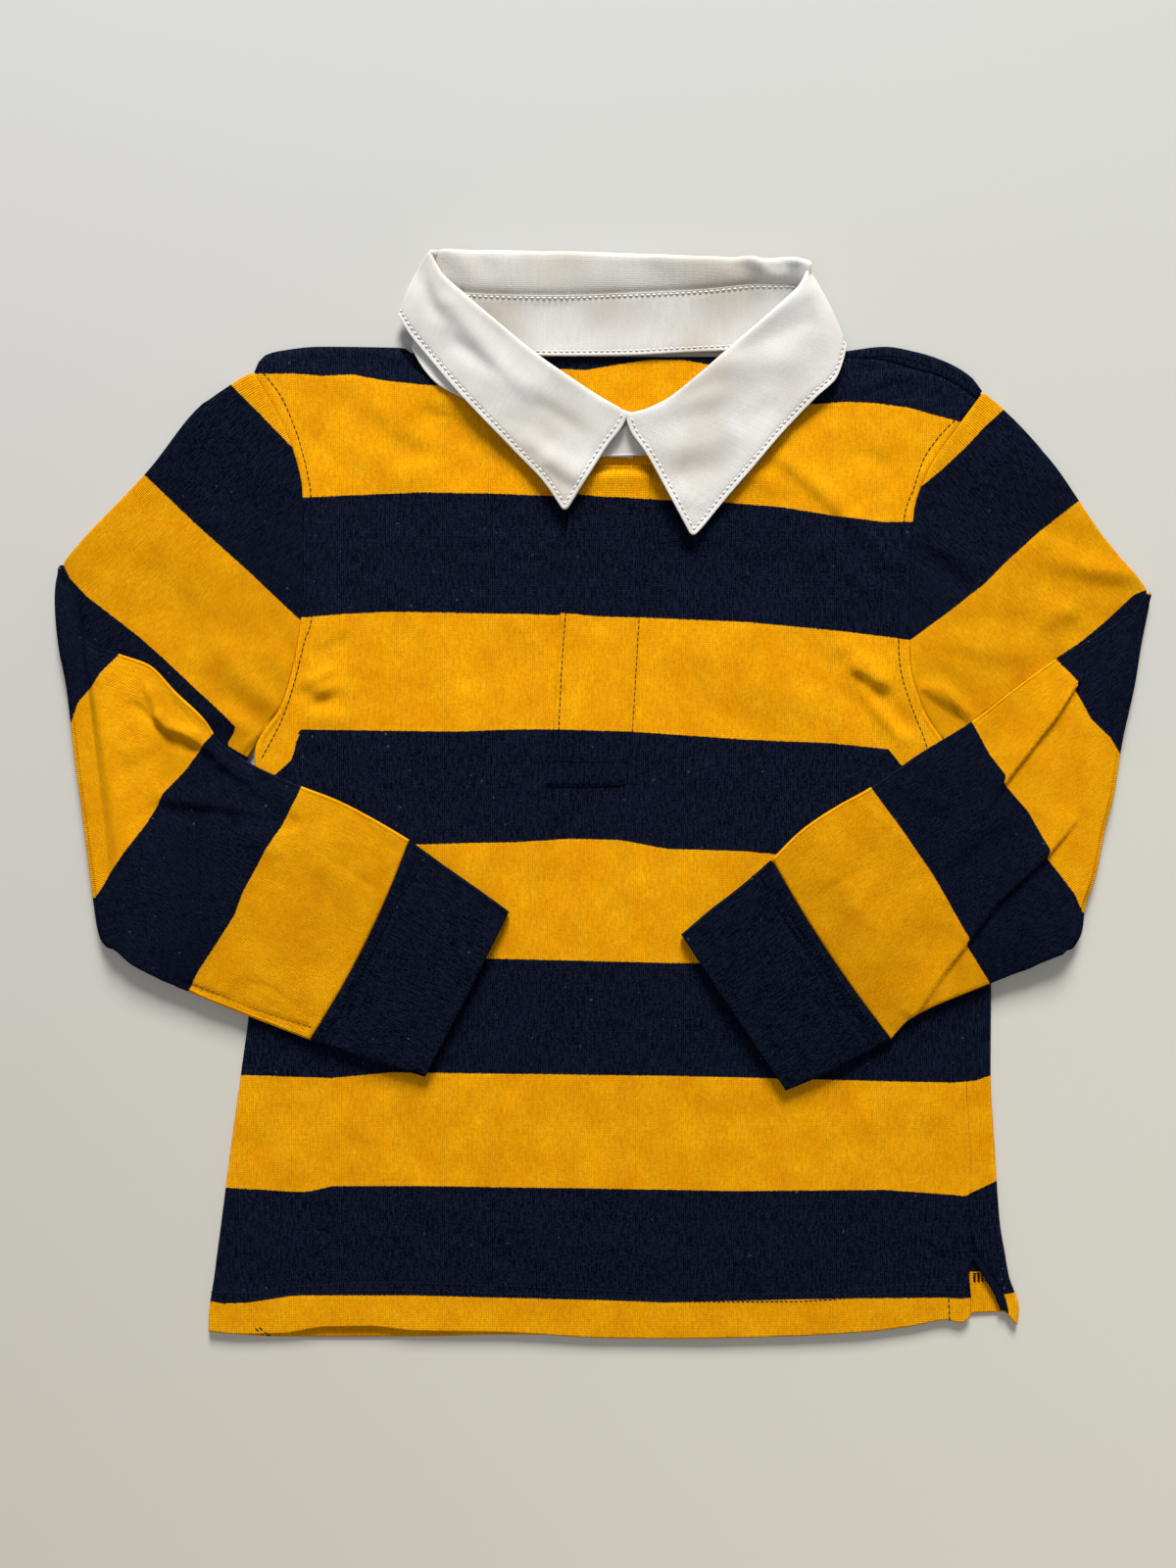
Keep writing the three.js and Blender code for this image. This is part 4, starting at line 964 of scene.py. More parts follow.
class Arm:
    """The middle lines of a sleeve's rings: upper arm, elbow fold and forearm."""

    def __init__(self, outward, side, outer, elbow, forearm):
        self.outward = outward
        self.seam, self.elbow, self.outer = armhole_line(side), plan_line(elbow), plan_line(outer)
        self.forearm, self.row_count = by_row(forearm, FOREARM_NAMES), len(forearm)
        self.bend = np.array(sorted((row[1], row[0]) for row in elbow))
        self.lines, self.normals, self.stretch = [], [], []
        near_seam = [0, 0.005, 0.01, 0.017, 0.026, 0.038]
        for t in np.concatenate([near_seam, np.linspace(0.054, 1, 46)]):
            self.add(self.upper_line(float(t)), UP, float(t) - 1)
        for angle in np.radians(np.linspace(0, 180, 14)[1:]):
            normal = np.array([outward * math.sin(angle), 0, math.cos(angle)])
            self.add(self.fold_line(angle, normal), normal, angle / math.pi)
        for place in np.linspace(0, self.row_count - 1, 116):
            self.add(self.fore_line(float(place)), -UP, 1 + place + 1e-3)

    def add(self, line, normal, stretch):
        self.lines.append(line)
        self.normals.append(normal)
        self.stretch.append(stretch)

    @staticmethod
    def radius(q):
        """The elbow fold is smaller at its upper end."""
        return FOLD_RADIUS * mix(0.38, 1, smooth_step(-0.02, 0.16, q))

    def hinge(self, q):
        x, y = self.elbow(mix(0.003, 0.997, q))
        radius = self.radius(q)
        return at(x - self.outward * (radius + LAYER + JERSEY / 2), y, TUBE_MID + radius)

    def upper_line(self, t):
        def line(q):
            x, y = self.seam(mix(0.004, 0.986, q))
            start = at(x + self.outward * (CLOSE + 0.5 * q ** 6), y, TUBE_MID)
            end = self.hinge(q)
            points = mix(start, end, t)
            points[:, 2] = TUBE_MID
            if 0 < t < 1:
                pull = np.clip(1 - q * 3, 0, 1)[:, None] ** 2 * math.sin(math.pi * t) ** 0.5
                points[:, :2] += pull * (np.array(self.outer(t)) - mix(start[0, :2], end[0, :2], t))
            return points
        return line

    def fold_line(self, angle, normal):
        def line(q):
            radius = self.radius(q)
            points = self.hinge(q)
            points[:, 0] += radius * normal[0]
            points[:, 2] = TUBE_MID + radius * (1 - math.cos(angle))
            return points
        return line

    def fore_line(self, place):
        row = {key: float(self.forearm[key](place)) for key in FOREARM_NAMES}
        z = FOREARM_Z + row["rise"] * (TUBE_MID + 2 * FOLD_RADIUS - FOREARM_Z)
        early = 1 - float(smooth_step(0, 1.3, place))
        return lambda q: at(
            *bowed(row, q, self.outward), z - 2 * (FOLD_RADIUS - self.radius(q)) * early
        )


def sleeve_hoops(x, y, stretch, origin, upper_axis, upper_hoops, fore_axis, fore_hoops):
    """Hoop numbers, from the upper arm's lines to the forearm's across the elbow fold."""
    upper = hoops_along(x, y, upper_hoops, origin, upper_axis) + 1
    fore = np.minimum(hoops_along(x, y, fore_hoops, origin, fore_axis) + 4, LAST_HOOP)
    return mix(upper, fore, smooth_step(0.15, 0.85, np.clip(stretch, 0, 1)))


def sleeve_relief(arm, tops, stretch, x, y, upper_creases, fore_creases, knives):
    """Creases and rolling on the faces that look up: the upper arm's top, the forearm's underside."""
    offs = np.array([t[1] for t in tops])
    body = np.array([t[2] for t in tops])
    flat = np.zeros(ARM_COLUMNS + 10)
    body_fore = np.array([np.concatenate([flat, t[2][5:5 + ARM_COLUMNS][::-1]]) for t in tops])
    top_upper = (stretch <= 0) * np.clip(offs / LAYER, 0, 1)
    facing = np.array([-n[2] for n in arm.normals])[:, None]
    top_fore = (stretch > 0.5) * np.clip(facing, 0, 1) * np.clip(-offs / LAYER, 0, 1)

    rolling = waves(x, y, (0.6, 34, 11), (0.42, 14, 12), (0.15, 6, 13))
    rolling = rolling + 0.5 * soft_folds(x, y, 36, arm.outward * 0.9, 71)
    rolling = rolling - 0.45 * soft_folds(x, y, 30, -arm.outward * 0.5, 77)
    arrive = smooth_step(-0.02, -0.16, stretch)
    upper = (creases(upper_creases, x, y) + rolling) * arrive * smooth_step(-1.0, -0.96, stretch)
    upper = np.clip(upper, -0.9, 2.2) + 0.25 * body * arrive
    upper = upper - 0.32 * np.exp(-(((stretch + 1) / 0.006) ** 2))
    fade = smooth_step(arm.row_count + 0.02, arm.row_count - 0.3, stretch)
    fore = creases(fore_creases, x, y) + rolling + knife_folds(knives, x, y)
    fore = np.clip(fore, -0.95, 2.8) * fade + 0.55 * body_fore * mix(0.6, 1, fade)
    fore = fore * smooth_step(4, 26, np.abs(x - np.interp(y, arm.bend[:, 0], arm.bend[:, 1])))
    return top_upper * upper + top_fore * fore


def sleeve(name, material, arm, hoops, folds):
    rings, tops = tube_rings(arm.lines, arm.normals, LAYER, tube_dome, ARM_COLUMNS, JERSEY)
    stretch = np.array(arm.stretch)[:, None] * np.ones(rings.shape[1])
    near = 1 - rings[..., 2] / EYE_HEIGHT
    x = EYE_X + (rings[..., 0] - EYE_X) / near
    y = EYE_Y + (rings[..., 1] - EYE_Y) / near
    rings[..., 2] += sleeve_relief(arm, tops, stretch, x, y, *folds)
    length, girth = run_along(rings[:, ARM_COLUMNS // 2]), run_along(rings[2])
    weave = np.stack(np.broadcast_arrays(girth[None, :], length[:, None]), -1)
    hoop = sleeve_hoops(x, y, stretch, *hoops)
    return cloth(name, rings, JERSEY, material, closed=True, hoop=hoop, weave=weave)


CUFF_DEPTH = 51.0
# Grooves (negative) and ridge of the seam that joins a cuff: height, place from the seam and width.
CUFF_SEAM = ((-0.6, 8.6, 1.2), (-0.45, 5.4, 1.0), (0.3, 2.6, 2.0))


def cuff(name, material, rows, outward, seed):
    fit = by_row(rows, CUFF_NAMES)
    lines, normals, places = [], [], []

    def cuff_line(place):
        row = {key: float(fit[key](place)) for key in CUFF_NAMES}
        return lambda q: at(*bowed(row, q, outward), CUFF_Z)

    for place in np.linspace(0, len(rows) - 1, 72):
        lines.append(cuff_line(float(place)))
        normals.append(-UP)
        places.append(place)
    columns = 46
    rings, tops = tube_rings(lines, normals, CUFF_LAYER, tube_dome, columns, RIB)
    offs = np.array([t[1] for t in tops])
    place = np.array(places)[:, None] * np.ones(rings.shape[1])
    x, y = rings[..., 0], rings[..., 1]
    run = place / (len(rows) - 1) * CUFF_DEPTH
    groove = sum(height * np.exp(-(((run - mid) / width) ** 2)) for height, mid, width in CUFF_SEAM)
    rolling = waves(x, y, (0.3, 22, seed), (0.12, 8, seed + 1))
    flat = np.zeros(columns + 10)
    body = np.array([np.concatenate([flat, t[2][5:5 + columns][::-1]]) for t in tops])
    fade = smooth_step(0, 4, run)
    rings[..., 2] += np.clip(-offs / CUFF_LAYER, 0, 1) * (groove + rolling * fade + 0.4 * body)
    lengths = run_along(rings[:, columns // 2])
    girth = run_along(rings[10])
    weave = np.stack(np.broadcast_arrays(girth[None, :], lengths[:, None]), -1)
    return cloth(name, rings, RIB, material, closed=True, weave=weave)


# Collar.

PATHS = {}


def collar_rows():
    ends = np.array([0, 0.05, 0.1, 0.16, 0.22, 0.3, 0.4, 0.55, 0.75])
    last = len(COLLAR) - 1
    middle = np.linspace(1, last - 1, 190)
    return np.concatenate([ends, middle, last - ends[::-1]])


def collar_fit():
    return by_row(COLLAR, COLLAR_NAMES)


STAND_HEIGHT = 29


def collar_stand(material):
    fit, rows = collar_fit(), collar_rows()
    foot, top = [0, 0.02, 0.045, 0.07, 0.1], [0.925, 0.945, 0.965, 0.985, 1]
    shares = np.concatenate([foot, np.linspace(0.14, 0.9, 14), top])
    grid = []
    for place in rows:
        row = {key: float(fit[key](place)) for key in COLLAR_NAMES}
        z = mix(row["nz"], row["sz"], shares ** 2)
        grid.append(at(mix(row["nx"], row["sx"], shares), mix(row["ny"], row["sy"], shares), z))
    grid = np.array(grid)
    x, y = grid[..., 0], grid[..., 1]
    back = smooth_step(7.2, 9, rows)[:, None] * smooth_step(15.8, 14, rows)[:, None]
    rolling = waves(x, y, (0.5, 26, 21), (0.2, 10, 22))
    middle = smooth_step(0, 0.2, shares)[None, :] * smooth_step(1, 0.8, shares)[None, :]
    grid[..., 2] += rolling * back * middle
    edge = np.minimum(shares[None, :] * 27, 50)
    edge = np.minimum(edge, (1 - shares[None, :]) * 27 + 0.4)
    thick = TWILL + 0.2 * np.exp(-((edge / 1.0) ** 2)) - 0.3 * np.exp(-(((edge - 2.0) / 0.5) ** 2))
    PATHS["stand_top"] = grid[(rows > 7.3) & (rows < 14.7)][:, -4] + 0.5 * TWILL * UP
    PATHS["stand_foot"] = grid[(rows > 7.3) & (rows < 14.7)][:, 3] + 0.5 * TWILL * UP
    along = run_along(grid[:, 3])
    weave = np.stack(np.broadcast_arrays(along[:, None], shares[None, :] * STAND_HEIGHT), -1)
    return cloth("collar_stand_cloth", grid, np.broadcast_to(thick, grid.shape[:2]), material, weave=weave)


LEAF_CREASES = (
    (-80, 226, -72, 206, -0.5, 3.5, 3.5),
    (-72, 214, -50, 190, 0.5, 5, 5),
    (-66, 196, -46, 180, -0.4, 4, 4),
    (-66, 184, -20, 173, 0.4, 8, 9),
    (-46, 160, -6, 152, -0.4, 8, 8),
    (-58, 196, -30, 168, 0.25, 4, 4),
    (-34, 152, -20, 141, 0.4, 4, 4),
    (-26, 144, -10, 134, 0.5, 5, 5),
    (-30, 168, -12, 158, -0.3, 3.5, 3.5),
    (-24, 138, -13, 131, -0.3, 3, 3),
    (18, 161, 54, 172, 0.5, 5, 5),
    (26, 170, 60, 186, 0.3, 4, 4),
    (50, 180, 84, 186, 0.4, 8, 8),
    (56, 160, 76, 166, -0.3, 7, 7),
    (60, 190, 92, 204, -0.4, 5, 5),
    (66, 202, 96, 218, 0.5, 5, 5),
    (78, 216, 98, 228, -0.4, 3.5, 3.5),
    (28, 146, 62, 156, 0.5, 7, 7),
    (30, 136, 52, 142, -0.45, 6, 6),
    (32, 126, 44, 124, 0.3, 4, 4),
)
BAND_CREASES = (
    (-76, 233, -72, 214, -1.2, 2.6, 2.6),
    (-70, 236, -60, 220, 0.9, 4, 4),
    (-56, 236, -50, 222, -0.5, 4, 4),
    (54, 232, 60, 222, -0.9, 3, 3),
    (60, 234, 68, 224, 1.0, 3, 3),
    (66, 232, 78, 226, -1.1, 2.6, 3),
    (74, 235, 84, 228, 0.9, 3, 3),
    (20, 234, 30, 222, 0.4, 6, 6),
    (-30, 236, -20, 222, -0.4, 6, 6),
)


def round_tips(grid, free, near_end, reach=3.1):
    """Pulls the square corners of both leaves in to round, blunt tips."""
    a = np.clip(reach - near_end, 0, reach)
    b = np.clip(reach - free, 0, reach)
    most, length = np.maximum(a, b), np.maximum(np.hypot(a, b), 1e-6)
    share = 1 - most / length
    up = np.zeros_like(grid)
    up[:, :-1] = grid[:, :-1] - grid[:, 1:]
    up[:, -1] = up[:, -2]
    up /= np.maximum(np.linalg.norm(up, axis=2, keepdims=True), 1e-9)
    along = np.gradient(grid, axis=0)
    along /= np.maximum(np.linalg.norm(along, axis=2, keepdims=True), 1e-9)
    inward = np.where(np.arange(len(grid))[:, None] < len(grid) / 2, 1, -1)[..., None]
    both = ((a > 0) & (b > 0))[..., None]
    return grid + both * (along * inward * (a * share)[..., None] + up * (b * share)[..., None])


STITCH_IN, LEAF_LIFT = 2.4, 0.5


def leaf_stitches(grid, free):
    """Places of the edge stitching: up one front edge, along the free edge and down the other."""
    count = grid.shape[0]
    line = []
    for i in range(count):
        order = np.argsort(free[i])
        line.append([np.interp(STITCH_IN, free[i][order], grid[i, order, k]) for k in range(3)])
    line = np.array(line)
    run = run_along(line)
    inside = (run > STITCH_IN * 1.1) & (run < run[-1] - STITCH_IN * 1.1)
    for name, order in (("leaf_left", slice(0, None)), ("leaf_right", slice(None, None, -1))):
        ordered, marks = grid[order], free[order]
        columns = [j for j in range(grid.shape[1]) if STITCH_IN < marks[0, j] < 90]
        edge = []
        for j in columns:
            steps = run_along(ordered[:12, j])
            edge.append([np.interp(STITCH_IN, steps, ordered[:12, j, k]) for k in range(3)])
        PATHS[name] = np.array(edge) + LEAF_LIFT * UP
    PATHS["leaf_edge"] = line[inside] + LEAF_LIFT * UP


FALL_HEIGHT = 62


def collar_fall(material):
    fit, rows = collar_fit(), collar_rows()
    leaf = np.concatenate([np.linspace(0, 0.86, 22), np.linspace(0.88, 1, 12)])
    roll = np.radians(np.linspace(-90, 90, 11))
    grid, marks = [], []
    for place in rows:
        row = {key: float(fit[key](place)) for key in COLLAR_NAMES}
        back = float(smooth_step(7.0, 8.2, place) * smooth_step(16.0, 14.8, place))
        seam = at(row["sx"], row["sy"], row["sz"])
        crest = at(row["rx"], row["ry"], row["rz"])
        edge = at(row["ex"], row["ey"], row["ez"])
        out = np.array([crest[0] - seam[0], crest[1] - seam[1], 0.0])
        out = out / max(np.linalg.norm(out), 1e-6)
        radius = mix(1.15, 2.2, back)
        # on the fronts the cloth comes up from below and turns over; at the back it comes up
        # from the front and goes down behind
        flip = mix(1, -1, back)
        centre = crest - out * (TWILL / 2 + radius)
        centre[2] = row["rz"] - radius
        arc = centre + radius * (np.cos(roll)[:, None] * out + flip * np.sin(roll)[:, None] * UP)
        rise = np.linspace(0, 1, 9)[:-1][:, None]
        start = mix(seam, arc[0], -0.04)
        start[2] = seam[2] - 1.35
        inner = mix(start, arc[0], rise)
        inner[:, 2] = mix(start[2], arc[0][2], rise[:, 0] ** mix(1.0, 0.5, back))
        fall = mix(arc[-1], edge, leaf[1:, None])
        sag = leaf[1:]
        fall[:, 2] = mix(arc[-1][2], edge[2], mix(sag ** 0.9, sag ** 0.6, back))
        belly = 4 * sag * (1 - sag)
        corner = float(np.exp(-((place - 7) / 1.0) ** 2) + np.exp(-((place - 15) / 1.0) ** 2))
        side = -1 if place < 11 else 1
        fall[:, 0] += belly * corner * 1.6 * side
        close = float(np.exp(-((min(place, len(COLLAR) - 1 - place) / 0.5) ** 2)))
        fall[:, 0] -= side * np.exp(-(((sag - 0.13) / 0.12) ** 2)) * close * (1.3 if side < 0 else 1.9)
        grid.append(np.concatenate([inner, arc, fall]))
        reach = np.linalg.norm(edge - arc[-1])
        marks.append(np.concatenate([np.full(len(inner) + len(arc), 99.0), (1 - leaf[1:]) * reach]))
    grid, edge = np.array(grid), np.array(marks)
    along_rows = np.cumsum(np.linalg.norm(np.diff(grid, axis=0), axis=2), axis=0)
    from_left = np.concatenate([np.zeros((1, grid.shape[1])), along_rows])
    from_right = from_left[-1:] - from_left
    front = (edge < 90) | (np.arange(grid.shape[1])[None, :] > 0)
    near_end = np.minimum(from_left, from_right)
    free = edge.copy()
    edge = np.minimum(edge, np.where(front, near_end, 99))
    grid = round_tips(grid, free, near_end)
    x, y = grid[..., 0], grid[..., 1]
    leaf_part = np.concatenate([np.zeros(8), np.linspace(0, 1, 11), np.ones(len(leaf) - 1)])[None, :]
    front_rows = (1 - smooth_step(6.5, 8, rows) * smooth_step(16.5, 15, rows))[:, None]
    rolling = waves(x, y, (0.7, 24, 31), (0.3, 10, 32), (0.08, 4.5, 35))
    relief = (creases(LEAF_CREASES, x, y) + rolling) * leaf_part * front_rows
    inner_part = 1 - leaf_part
    back_rows = 1 - front_rows
    relief = relief + inner_part * creases(BAND_CREASES, x, y) * smooth_step(5.5, 7, rows)[:, None]
    relief = relief + inner_part * back_rows * waves(x, y, (0.75, 20, 33), (0.35, 8, 34))
    fade = smooth_step(0, 0.2, np.arange(grid.shape[1]) / grid.shape[1])[None, :]
    grid[..., 2] += np.clip(relief, -1.0, 1.3) * fade
    thick = TWILL + 0.55 * np.exp(-((edge / 1.25) ** 2)) - 0.62 * np.exp(-(((edge - 2.4) / 0.7) ** 2))
    leaf_stitches(grid, free)
    down = np.broadcast_to(np.linspace(0, FALL_HEIGHT, grid.shape[1]), edge.shape)
    weave = np.stack([from_left, down], -1)
    return cloth("collar_fall_cloth", grid, thick, material, weave=weave)


# Placket and vent tape.

PLACKET_WIDTH = 34


def placket(material):
    fit = {name: soft_curve(column(PLACKET, PLACKET_NAMES, "y"), column(PLACKET, PLACKET_NAMES, name))
           for name in ("lx", "rx")}
    ys = np.linspace(2, 143, 96)[:, None]
    shares = np.concatenate([[0, 0.012, 0.03, 0.06, 0.1], np.linspace(0.14, 0.93, 24), [0.96, 0.985, 1]])
    shares = shares[None, :]
    x = mix(fit["lx"](ys), fit["rx"](ys), shares)
    y = ys + 0 * x
    z = FRONT_TOP + 0.1 + JERSEY / 2
    from_fold = shares * PLACKET_WIDTH
    groove = 0.45 * np.exp(-((from_fold / 1.5) ** 2)) - 0.5 * np.exp(-(((from_fold - 2.4) / 0.8) ** 2))
    groove = groove * smooth_step(0, 10, ys - 24)
    foot = smooth_step(0, 3, ys - 2)
    thick = mix(0.25, JERSEY, smooth_step(1, 0.9, shares)) * mix(0.35, 1, foot)
    sink = mix(-0.42, 0, smooth_step(1, 0.88, shares)) + mix(-0.35, 0, foot)
    grid = at(x, y, z + front_relief(x, y) + groove + sink)
    slip = smooth_step(0.5, 0, shares) * smooth_step(40, 60, y)
    hoop = hoop_values(y - slip, x, across(FRONT_HOOPS))
    return cloth("placket_cloth", grid, thick, material, hoop=hoop, weave=np.stack([x, y], -1))


def vent_tape(material):
    widths = soft_curve((0.1, 0.6, 1, 1.5, 2, 2.7), (3.4, 3.8, 4, 3.6, 3.2, 2.2))
    grid = []
    for t in np.linspace(0.1, 2.7, 34):
        edge = float(body_at["rx"](t) - body_at["wrap"](t)) - CLOSE
        x = mix(edge - float(widths(t)), edge, np.linspace(0, 1, 7))
        y = body_y(np.full(7, t), x, hem_back)
        grid.append(at(x, y, FRONT_Z - 0.2 + 0.25 * np.sin(np.linspace(0, math.pi, 7))))
    return cloth("vent_tape_cloth", np.array(grid), 0.9, material)


# Materials.

def nodes_of(material):
    material.use_nodes = True
    tree = material.node_tree
    tree.nodes.clear()
    return tree


def link(tree, a, b):
    tree.links.new(a, b)


def math_node(tree, operation, a, b=None, clamp=False):
    node = tree.nodes.new("ShaderNodeMath")
    node.operation = operation
    node.use_clamp = clamp
    for socket, value in zip(node.inputs, (a, b)):
        if value is None:
            continue
        if isinstance(value, (int, float)):
            socket.default_value = value
        else:
            link(tree, value, socket)
    return node.outputs[0]


def sine_node(tree, value, factor):
    return math_node(tree, "SINE", math_node(tree, "MULTIPLY", value, factor))


def weighted(tree, *parts):
    """A sum of values, each times its weight."""
    total = math_node(tree, "MULTIPLY", *parts[0])
    for part in parts[1:]:
        total = math_node(tree, "ADD", total, math_node(tree, "MULTIPLY", *part))
    return total


def noise_node(tree, vector, scale, detail=2.0, roughness=0.5):
    node = tree.nodes.new("ShaderNodeTexNoise")
    node.inputs["Scale"].default_value = scale
    node.inputs["Detail"].default_value = detail
    node.inputs["Roughness"].default_value = roughness
    if vector is not None:
        link(tree, vector, node.inputs["Vector"])
    return node.outputs["Fac"]


def range_node(tree, value, low, high, to_low=0.0, to_high=1.0):
    node = tree.nodes.new("ShaderNodeMapRange")
    link(tree, value, node.inputs["Value"])
    node.inputs["From Min"].default_value = low
    node.inputs["From Max"].default_value = high
    node.inputs["To Min"].default_value = to_low
    node.inputs["To Max"].default_value = to_high
    return node.outputs["Result"]


def mix_colour(tree, factor, a, b):
    node = tree.nodes.new("ShaderNodeMix")
    node.data_type = "RGBA"
    for socket, value in zip((node.inputs[0], node.inputs[6], node.inputs[7]), (factor, a, b)):
        if isinstance(value, (int, float)):
            socket.default_value = value
        elif isinstance(value, tuple):
            socket.default_value = (*value, 1.0)
        else:
            link(tree, value, socket)
    return node.outputs[2]


def group_tree(name, inputs, outputs):
    tree = bpy.data.node_groups.new(name, "ShaderNodeTree")
    for label, kind, default in inputs:
        socket = tree.interface.new_socket(label, in_out="INPUT", socket_type=kind)
        if default is not None:
            socket.default_value = default
    for label, kind in outputs:
        tree.interface.new_socket(label, in_out="OUTPUT", socket_type=kind)
    return tree, tree.nodes.new("NodeGroupInput"), tree.nodes.new("NodeGroupOutput")


def streak_node(tree, vector, across, along):
    """Uneven streaks along the wales: a noise squeezed across them."""
    squeeze = tree.nodes.new("ShaderNodeMapping")
    squeeze.inputs["Scale"].default_value = (across, along, 1.0)
    link(tree, vector, squeeze.inputs["Vector"])
    return noise_node(tree, squeeze.outputs[0], 1.0, 2.0, 0.6)


def knit_group():
    """Wales and courses of jersey on the cloth's own map: height, and a tone of light and dark loops that is
    partly the yarn's own unevenness and partly painted shade in the grooves between wales.
    """
    tree, come, go = group_tree(
        "jersey knit",
        [
            ("Weave", "NodeSocketVector", None),
            ("Wale", "NodeSocketFloat", 0.00092),
            ("Course", "NodeSocketFloat", 0.00075),
        ],
        [("Height", "NodeSocketFloat"), ("Tone", "NodeSocketFloat")],
    )
    split = tree.nodes.new("ShaderNodeSeparateXYZ")
    link(tree, come.outputs["Weave"], split.inputs[0])
    wander = noise_node(tree, come.outputs["Weave"], 260.0, 1.0)
    shift = math_node(tree, "MULTIPLY", math_node(tree, "SUBTRACT", wander, 0.5), 0.5)
    wale = math_node(tree, "DIVIDE", split.outputs[0], come.outputs["Wale"])
    wale = math_node(tree, "ADD", wale, shift)
    course = math_node(tree, "DIVIDE", split.outputs[1], come.outputs["Course"])
    course = math_node(tree, "ADD", course, shift)
    ridge = math_node(tree, "ABSOLUTE", sine_node(tree, wale, math.pi))
    zigzag = math_node(tree, "MULTIPLY", math_node(tree, "PINGPONG", wale, 0.5), 1.2)
    loop = sine_node(tree, math_node(tree, "ADD", course, zigzag), 2 * math.pi)
    height = weighted(tree, (ridge, 1.0), (loop, 0.28))
    fuzz = noise_node(tree, come.outputs["Weave"], 2600.0, 2.0, 0.6)
    streak = streak_node(tree, come.outputs["Weave"], 1100.0, 190.0)
    grain = noise_node(tree, come.outputs["Weave"], 860.0, 2.0, 0.6)
    # The tone follows the wale ridges, so the grooves between wales come out darker: painted shade. The
    # streaks and grain are the yarn's own uneven tone.
    tone = weighted(tree, (ridge, 0.14), (streak, 0.46), (grain, 0.5))
    height = weighted(tree, (height, 1.0), (fuzz, 0.7), (streak, 1.4))
    link(tree, height, go.inputs["Height"])
    link(tree, tone, go.inputs["Tone"])
    return tree


def lint_group():
    """Scattered pale specks and short fibres that lie on dark cloth."""
    tree, come, go = group_tree(
        "lint",
        [("Vector", "NodeSocketVector", None), ("Share", "NodeSocketFloat", 0.3)],
        [("Mask", "NodeSocketFloat")],
    )
    masks = []
    for scale, width in ((190.0, 0.11), (95.0, 0.055)):
        bend = tree.nodes.new("ShaderNodeTexNoise")
        bend.inputs["Scale"].default_value = scale * 2
        link(tree, come.outputs["Vector"], bend.inputs["Vector"])
        offset = tree.nodes.new("ShaderNodeVectorMath")
        offset.operation = "SCALE"
        offset.inputs["Scale"].default_value = 0.35 / scale
        link(tree, bend.outputs["Color"], offset.inputs[0])
        place = tree.nodes.new("ShaderNodeVectorMath")
        place.operation = "ADD"
        link(tree, come.outputs["Vector"], place.inputs[0])
        link(tree, offset.outputs[0], place.inputs[1])
        cell = tree.nodes.new("ShaderNodeTexVoronoi")
        cell.inputs["Scale"].default_value = scale
        link(tree, place.outputs[0], cell.inputs["Vector"])
        dot = range_node(tree, cell.outputs["Distance"], width, width * 0.4)
        pick = tree.nodes.new("ShaderNodeSeparateColor")
        link(tree, cell.outputs["Color"], pick.inputs[0])
        chosen = math_node(tree, "LESS_THAN", pick.outputs[0], come.outputs["Share"])
        shown = math_node(tree, "MULTIPLY", dot, chosen, clamp=True)
        masks.append(math_node(tree, "MULTIPLY", shown, pick.outputs[1]))
    link(tree, math_node(tree, "ADD", masks[0], masks[1], clamp=True), go.inputs["Mask"])
    return tree


def place_group(tree, group, **values):
    node = tree.nodes.new("ShaderNodeGroup")
    node.node_tree = group
    for key, value in values.items():
        if isinstance(value, (int, float)):
            node.inputs[key].default_value = value
        else:
            link(tree, value, node.inputs[key])
    return node


GOLD = (0.95, 0.44, 0.004)
GOLD_DEEP = (0.78, 0.30, 0.0015)
GOLD_SHADE = (0.50, 0.17, 0.001)
NAVY = (0.0004, 0.0009, 0.0042)
NAVY_PALE = (0.0022, 0.0040, 0.0125)
NAVY_FIBRE_AND_HIGHLIGHT = (0.013, 0.0185, 0.041)
LINT = (0.12, 0.14, 0.2)
WHITE = (0.69, 0.682, 0.665)
TWILL_SHADE = (0.555, 0.52, 0.455)
TWILL_GAP = (0.42, 0.39, 0.34)
TWILL_STREAK = (0.46, 0.43, 0.38)
TWILL_RIB, TWILL_THREAD = 0.0006, 0.00045


def finish_shader(tree, colour, height, strength, roughness, distance=0.0004):
    shader = tree.nodes.new("ShaderNodeBsdfPrincipled")
    output = tree.nodes.new("ShaderNodeOutputMaterial")
    link(tree, colour, shader.inputs["Base Color"])
    shader.inputs["Roughness"].default_value = roughness
    shader.inputs["Specular IOR Level"].default_value = 0.02
    bump = tree.nodes.new("ShaderNodeBump")
    bump.inputs["Strength"].default_value = strength
    bump.inputs["Distance"].default_value = distance
    link(tree, height, bump.inputs["Height"])
    link(tree, bump.outputs["Normal"], shader.inputs["Normal"])
    link(tree, shader.outputs[0], output.inputs[0])
    return shader


def navy_colour(tree, worn, knit, lint, lint_share):
    """Navy yarn with paler fibres on its loops, partly a painted highlight on the crests of the wales, and
    specks of lint.
    """
    navy = mix_colour(tree, range_node(tree, worn, 0.35, 0.7), NAVY, NAVY_PALE)
    # Paler where the knit's tone is high: the fibres' own colour, and a painted highlight on the wale
    # crests.
    navy = mix_colour(tree, range_node(tree, knit.outputs["Tone"], 0.5, 0.68, 0.0, 0.7), navy, NAVY_FIBRE_AND_HIGHLIGHT)
    return mix_colour(tree, math_node(tree, "MULTIPLY", lint.outputs[0], lint_share), navy, LINT)


def cloth_material(name):
    """A new material with its tree, the cloth's own map and the place on the object."""
    material = bpy.data.materials.new(name)
    tree = nodes_of(material)
    weave = tree.nodes.new("ShaderNodeUVMap")
    weave.uv_map = "weave"
    return material, tree, weave, tree.nodes.new("ShaderNodeTexCoord").outputs["Object"]


